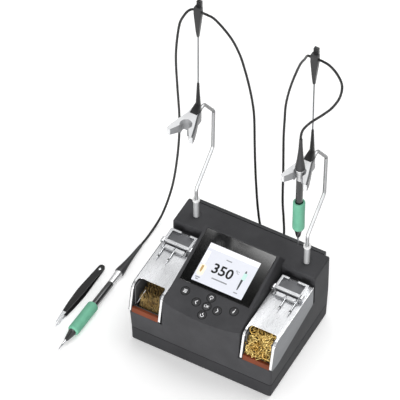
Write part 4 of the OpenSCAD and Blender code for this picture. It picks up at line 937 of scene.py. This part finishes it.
# Painted shade: a dark strip along the top of the fork's right prong, its outer side, and back along
# its inner
FORK_SHADE_STRIP = [(6.5, 29), (7.4, 18.4), (9.5, 12.6), (12.4, 4.6), (14.2, -1), (16, -7), (17.9, -15.8),
            (15.9, -15.8), (13.4, -7), (11.7, -1), (9.9, 4.6), (7.3, 12.6), (5.6, 18.4), (5, 29)]
for side, s in SIDES:
    holder = "holder_" + side

    def fork_finish(middle, normal, s=s):
        """1 for painted shade on the fork's upright walls at the back, 2 for darker painted shade on
        the spine on its right.
        """
        if normal.z > 0.6 or middle.y < FORK_FRONT_Y:
            return 0
        return 2 if normal.x > 0.5 and middle.x > ARM_X * s + 7 else 1

    shaped("arm_sleeve_" + side, "sleeve_" + side, "housing", "sleeve", [TURNED, CAP],
           lambda middle, normal: int(middle.z > SLEEVE_TOP - CAP_H), width=0.25)
    shaped("bent_rod_" + side, "arm_" + side, holder, "rod", [PLATED], angle=40)
    shaped("holder_horn_" + side, "holder_back_" + side, holder, "black_plastic", [BLACK_PA],
           angle=45)
    shaped("holder_fork_" + side, "fork_" + side, holder, "fork", [FORK, FORK_WALL_SHADE, FORK_SPINE_SHADE],
           fork_finish, width=0.4)
    fork_shade_bm = bmesh.new()
    flat(fork_shade_bm, FORK_SHADE_STRIP, Matrix.Translation(mm(ARM_X * s, SEAT_Y, FORK_Z)), 0.12)
    facing(fork_shade_bm, Vector((0, 0, 1)))
    put(mesh_object("fork_edge_" + side, fork_shade_bm, FORK_SPINE_SHADE), holder, "fork")
    shaped("guide_wire_" + side, "guide_rod_" + side, holder, "spring_wire", [WIRE])
    shaped("clip_body_" + side, "cord_clip_" + side, holder, "clip", [CLIP, BLACK_PA],
           lambda middle, normal: int(middle.y > HORN_Y + 2.5), width=0.4)

# Handpieces, from the tip: cartridge, handle with its nose, foam grip, collar and cord relief

CARTRIDGE = [(0, 0, 0), (0.3, 0.1), (0.7, 6), (1.05, 9.5, 1), (1.05, 14), (1.3, 14.2),
             (1.3, 17.3), (1, 17.6), (1, 29), (0, 29)]
BODY = [(0, NOSE_Z), (1.9, NOSE_Z), (2.2, NOSE_Z + 0.2), (2.5, 19), (2.9, 19.5), (5, 31.2), (5.3, 31.9),
        (5.3, GRIP_Z - 0.1), (4.45, GRIP_Z - 0.05), (4.45, HANDLE_Z), (4.45, COLLAR_Z - 0.8),
        (4.2, COLLAR_Z - 0.05), (0, COLLAR_Z - 0.05)]
# From its point marked 1, the foam's profile runs into the recess round the handle, which takes painted
# shade
FOAM = ([(4.46, GRIP_Z, 0)] + arc(4.65, GRIP_Z + 3, 3, 270, 360)
        + [(7.6, 48), (7.5, 59), (7.6, 72)] + arc(5.3, HANDLE_Z - 2.35, 2.35, 0, 90)
        + [(5.2, HANDLE_Z - 0.1, 1), (4.7, HANDLE_Z - 1.8), (4.46, HANDLE_Z - 2), (4.46, GRIP_Z)])
CONE = [(0, COLLAR_Z + 0.05), (4, COLLAR_Z + 0.05), (4.3, COLLAR_Z + 0.5), (4.35, COLLAR_Z + 1.5),
        (4.7, RELIEF_Z - 8.9), (5.45, RELIEF_Z - 2.6), (5.5, RELIEF_Z - 0.4), (5.3, RELIEF_Z - 0.05),
        (0, RELIEF_Z - 0.05)]
TAPER = [(0, RELIEF_Z), (5.6, RELIEF_Z), (6.1, 146.5), (6.25, 147.4), (6.1, 149.5), (5.8, 152),
         (5.3, 155.6), (4.65, 160.2), (4.05, 166), (3.5, 172), (2.95, 179.5), (2.55, 187), (2.25, 194),
         (2.1, TAIL_Z - 0.4), (1.9, TAIL_Z), (1.6, TAIL_Z), (1.6, 194.6), (0, 194.6)]
for side, place in (("left", AT_TABLE), ("right", AT_HOLDER)):
    for part, profile, slot, finish in (
            ("cartridge", CARTRIDGE, "cartridge", (TIP, TUBE)),
            ("handle", BODY, "black_plastic", (HANDLE,)),
            ("grip", FOAM, "grip", (GRIP, GRIP_RECESS_SHADE)),
            ("collar", CONE, "fork", (COLLAR,)),
            ("relief", TAPER, "rubber", (RELIEF,))):
        part_bm = bmesh.new()
        lathe(part_bm, profile, place, 64)
        bmesh.ops.remove_doubles(part_bm, verts=part_bm.verts, dist=1e-6)
        close_up(part_bm, 40)
        put(mesh_object("_".join((side, part, "turned")), part_bm, *finish), "handpiece_" + side, slot,
            side + "_" + part)

# Tweezers: coated arms with bare tips, and the weld that joins them

for node, body in (("tweezer_arm_low", "tweezers"), ("tweezer_arm_top", "tweezer_top")):
    arm_bm = solid_copy(node)
    coat_end = AT_TWEEZERS @ mm(0, -92, 0)
    along = AT_TWEEZERS.to_3x3() @ Vector((0, 1, 0))
    bmesh.ops.bisect_plane(arm_bm, geom=arm_bm.verts[:] + arm_bm.edges[:] + arm_bm.faces[:],
                           dist=1e-7, plane_co=coat_end, plane_no=along)
    for face in arm_bm.faces:
        face.material_index = int((face.calc_center_median() - coat_end).dot(along) < 0)
        face.smooth = True
    if body == "tweezer_top":
        weld = (AT_TWEEZERS @ Matrix.Translation(mm(0, -8.5, 8.1))
                @ Matrix.Rotation(math.radians(-5.8), 4, "X") @ Matrix.Scale(1.7, 4, (0, 1, 0)))
        lathe(arm_bm, [(0, 0), (1.5, 0), (1.3, 0.2), (0.6, 0.28), (0, 0.3)], weld, 24, 1)
    smooth_by_angle(arm_bm, 30)
    arm = mesh_object(node + "_spring", arm_bm, COATED, BARE)
    round_edges(arm, 0.25, 40)
    even_shading(arm)
    put(arm, body, "coated_steel", node)

# Rear: sheet pan, screws, mains inlet, switch, sockets and the cords' plugs

ON_REAR = (Matrix.Translation(mm(0, BACK_Y, 0)) @ Matrix.Rotation(math.pi, 4, "Z")
           @ Matrix.Rotation(math.pi / 2, 4, "X"))
shaped("rear_pan", "rear_panel", "housing", "panel", [PANEL], width=0.4, shell=True)
shaped("inlet_body", "mains_inlet", "housing", "black_plastic", [BLACK_PA], width=0.3, shell=True)
shaped("rocker_frame", "switch_frame", "housing", "black_plastic", [BLACK_PA], width=0.3, shell=True)
shaped("socket_shells", "tool_sockets", "housing", "black_plastic", [SCREW], width=0.2)

blades = bmesh.new()
for x, z in ((-7, 50), (0, 55), (7, 50)):
    bmesh.ops.create_cube(blades, size=1, matrix=Matrix.Translation(mm(-70.5 + x, 67.5, z))
                          @ Matrix.Diagonal((0.0018, 0.011, 0.0036, 1)))
round_edges(put(mesh_object("inlet_blades", blades, SCREW), "housing", "screw"), 0.4, 30)

shaped("rocker_key", "power_switch", "rocker", "black_plastic", [BLACK_PA], width=0.3)
# The marks of the two halves of the rocker's face: across, out from the wall, and their lean
marks = bmesh.new()
for x, out, lean, path, width in ((58, 2.47, 15.2, [(0, -1.6), (0, 1.6)], 0.6),
                                  (51, 1.87, -5.7, arc(0, 0, 1.4, 0, 360, 16), 0.5)):
    place = (Matrix.Translation(mm(x, BACK_Y + out, POWER_Z))
             @ Matrix.Rotation(math.radians(lean), 4, "Z") @ ON_REAR.to_3x3().to_4x4())
    stroke(marks, path, width, place, 0.06)
facing(marks, Vector((0, 1, 0)))
put(mesh_object("rocker_marks", marks, LEGEND), "rocker", "black_plastic")

PLUG = [(0, -6), (4.5, -6), (4.5, 2.3), (6.3, 2.3), (6.6, 2.7), (6.6, 5.4), (6.2, 5.6), (6.2, 6.4),
        (6.6, 6.6), (6.6, 8), (6.2, 8.2), (6.2, 9), (6.6, 9.2), (6.6, 10.6), (6.2, 10.8), (6.2, 11.6),
        (6.6, 11.8), (6.6, 14.8), (6.1, 15.5), (4.1, 15.5), (3.7, 17), (2.7, 20.6), (2.1, 24.2),
        (1.9, 24.4), (0, 24.4)]
for side, x in (("left", -16), ("right", 14)):
    plug_bm = bmesh.new()
    lathe(plug_bm, PLUG, Matrix.Translation(mm(x, BACK_Y, SOCKET_Z))
          @ Matrix.Rotation(-math.pi / 2, 4, "X"))
    close_up(plug_bm)
    put(mesh_object("cord_plug_" + side, plug_bm, RELIEF), "housing", "rubber", "plug_" + side)


# Height of a screw head's flat top over its place
HEAD_TOP = 1.7


def cross_head():
    """Pan head with a cross recess, its rim at height 0."""
    bm = bmesh.new()
    lathe(bm, [(0, -0.3), (2.8, -0.3), (2.8, 0.7), (2.5, 1.35), (1.95, HEAD_TOP)], Matrix(), 24)
    rim = [v for v in bm.verts if abs(v.co.z - HEAD_TOP * MM) < 1e-7]
    corners = [(0.3, 0.3), (1.4, 0.3), (1.4, -0.3), (0.3, -0.3), (0.3, -1.4), (-0.3, -1.4),
               (-0.3, -0.3), (-1.4, -0.3), (-1.4, 0.3), (-0.3, 0.3), (-0.3, 1.4), (0.3, 1.4)]
    top = [bm.verts.new(mm(x, y, HEAD_TOP)) for x, y in corners]
    low = [bm.verts.new(mm(x * 0.8, y * 0.8, 0.8)) for x, y in corners]
    count = len(corners)
    edges = [bm.edges.new((top[i], top[(i + 1) % count])) for i in range(count)]
    edges += [e for e in bm.edges if e.verts[0] in rim and e.verts[1] in rim]
    bmesh.ops.triangle_fill(bm, edges=edges, use_dissolve=False)
    for face in [f for f in bm.faces if all(v in top for v in f.verts)]:
        bm.faces.remove(face)
    for i in range(count):
        bm.faces.new((top[i], top[(i + 1) % count], low[(i + 1) % count], low[i]))
    bm.faces.new(low)
    close_up(bm)
    return mesh_object("screw_head", bm, SCREW)


head = cross_head()
screws = ([((x, BACK_Y + 0.05, z), (0, 1, 0)) for x in (-88.9, 88.9) for z in (31, 106.6)]
          + [((x, y, 3.0), (0, 0, -1)) for x in (-91.8, 91.8) for y in (-44.7, 44.7)])
screw_mesh = bpy.data.meshes.new("screw_places")
screw_mesh.from_pydata([mm(*place) for place, way in screws], [], [])
way_data = screw_mesh.attributes.new("facing", "FLOAT_VECTOR", "POINT")
for item, (place, way) in zip(way_data.data, screws):
    item.vector = way
screw_heads = bpy.data.objects.new("case_screw_heads", screw_mesh)
bpy.context.scene.collection.objects.link(screw_heads)
put(grown(screw_heads, screw_tree(head), Size=1.0), "housing", "screw", "case_screws")
bpy.data.objects.remove(head)

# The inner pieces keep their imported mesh

for node, finish in (("lcd_panel", SCREEN), ("control_board", BOARD), ("transformer", COPPER)):
    for slot in nodes[node].material_slots:
        slot.material = finish
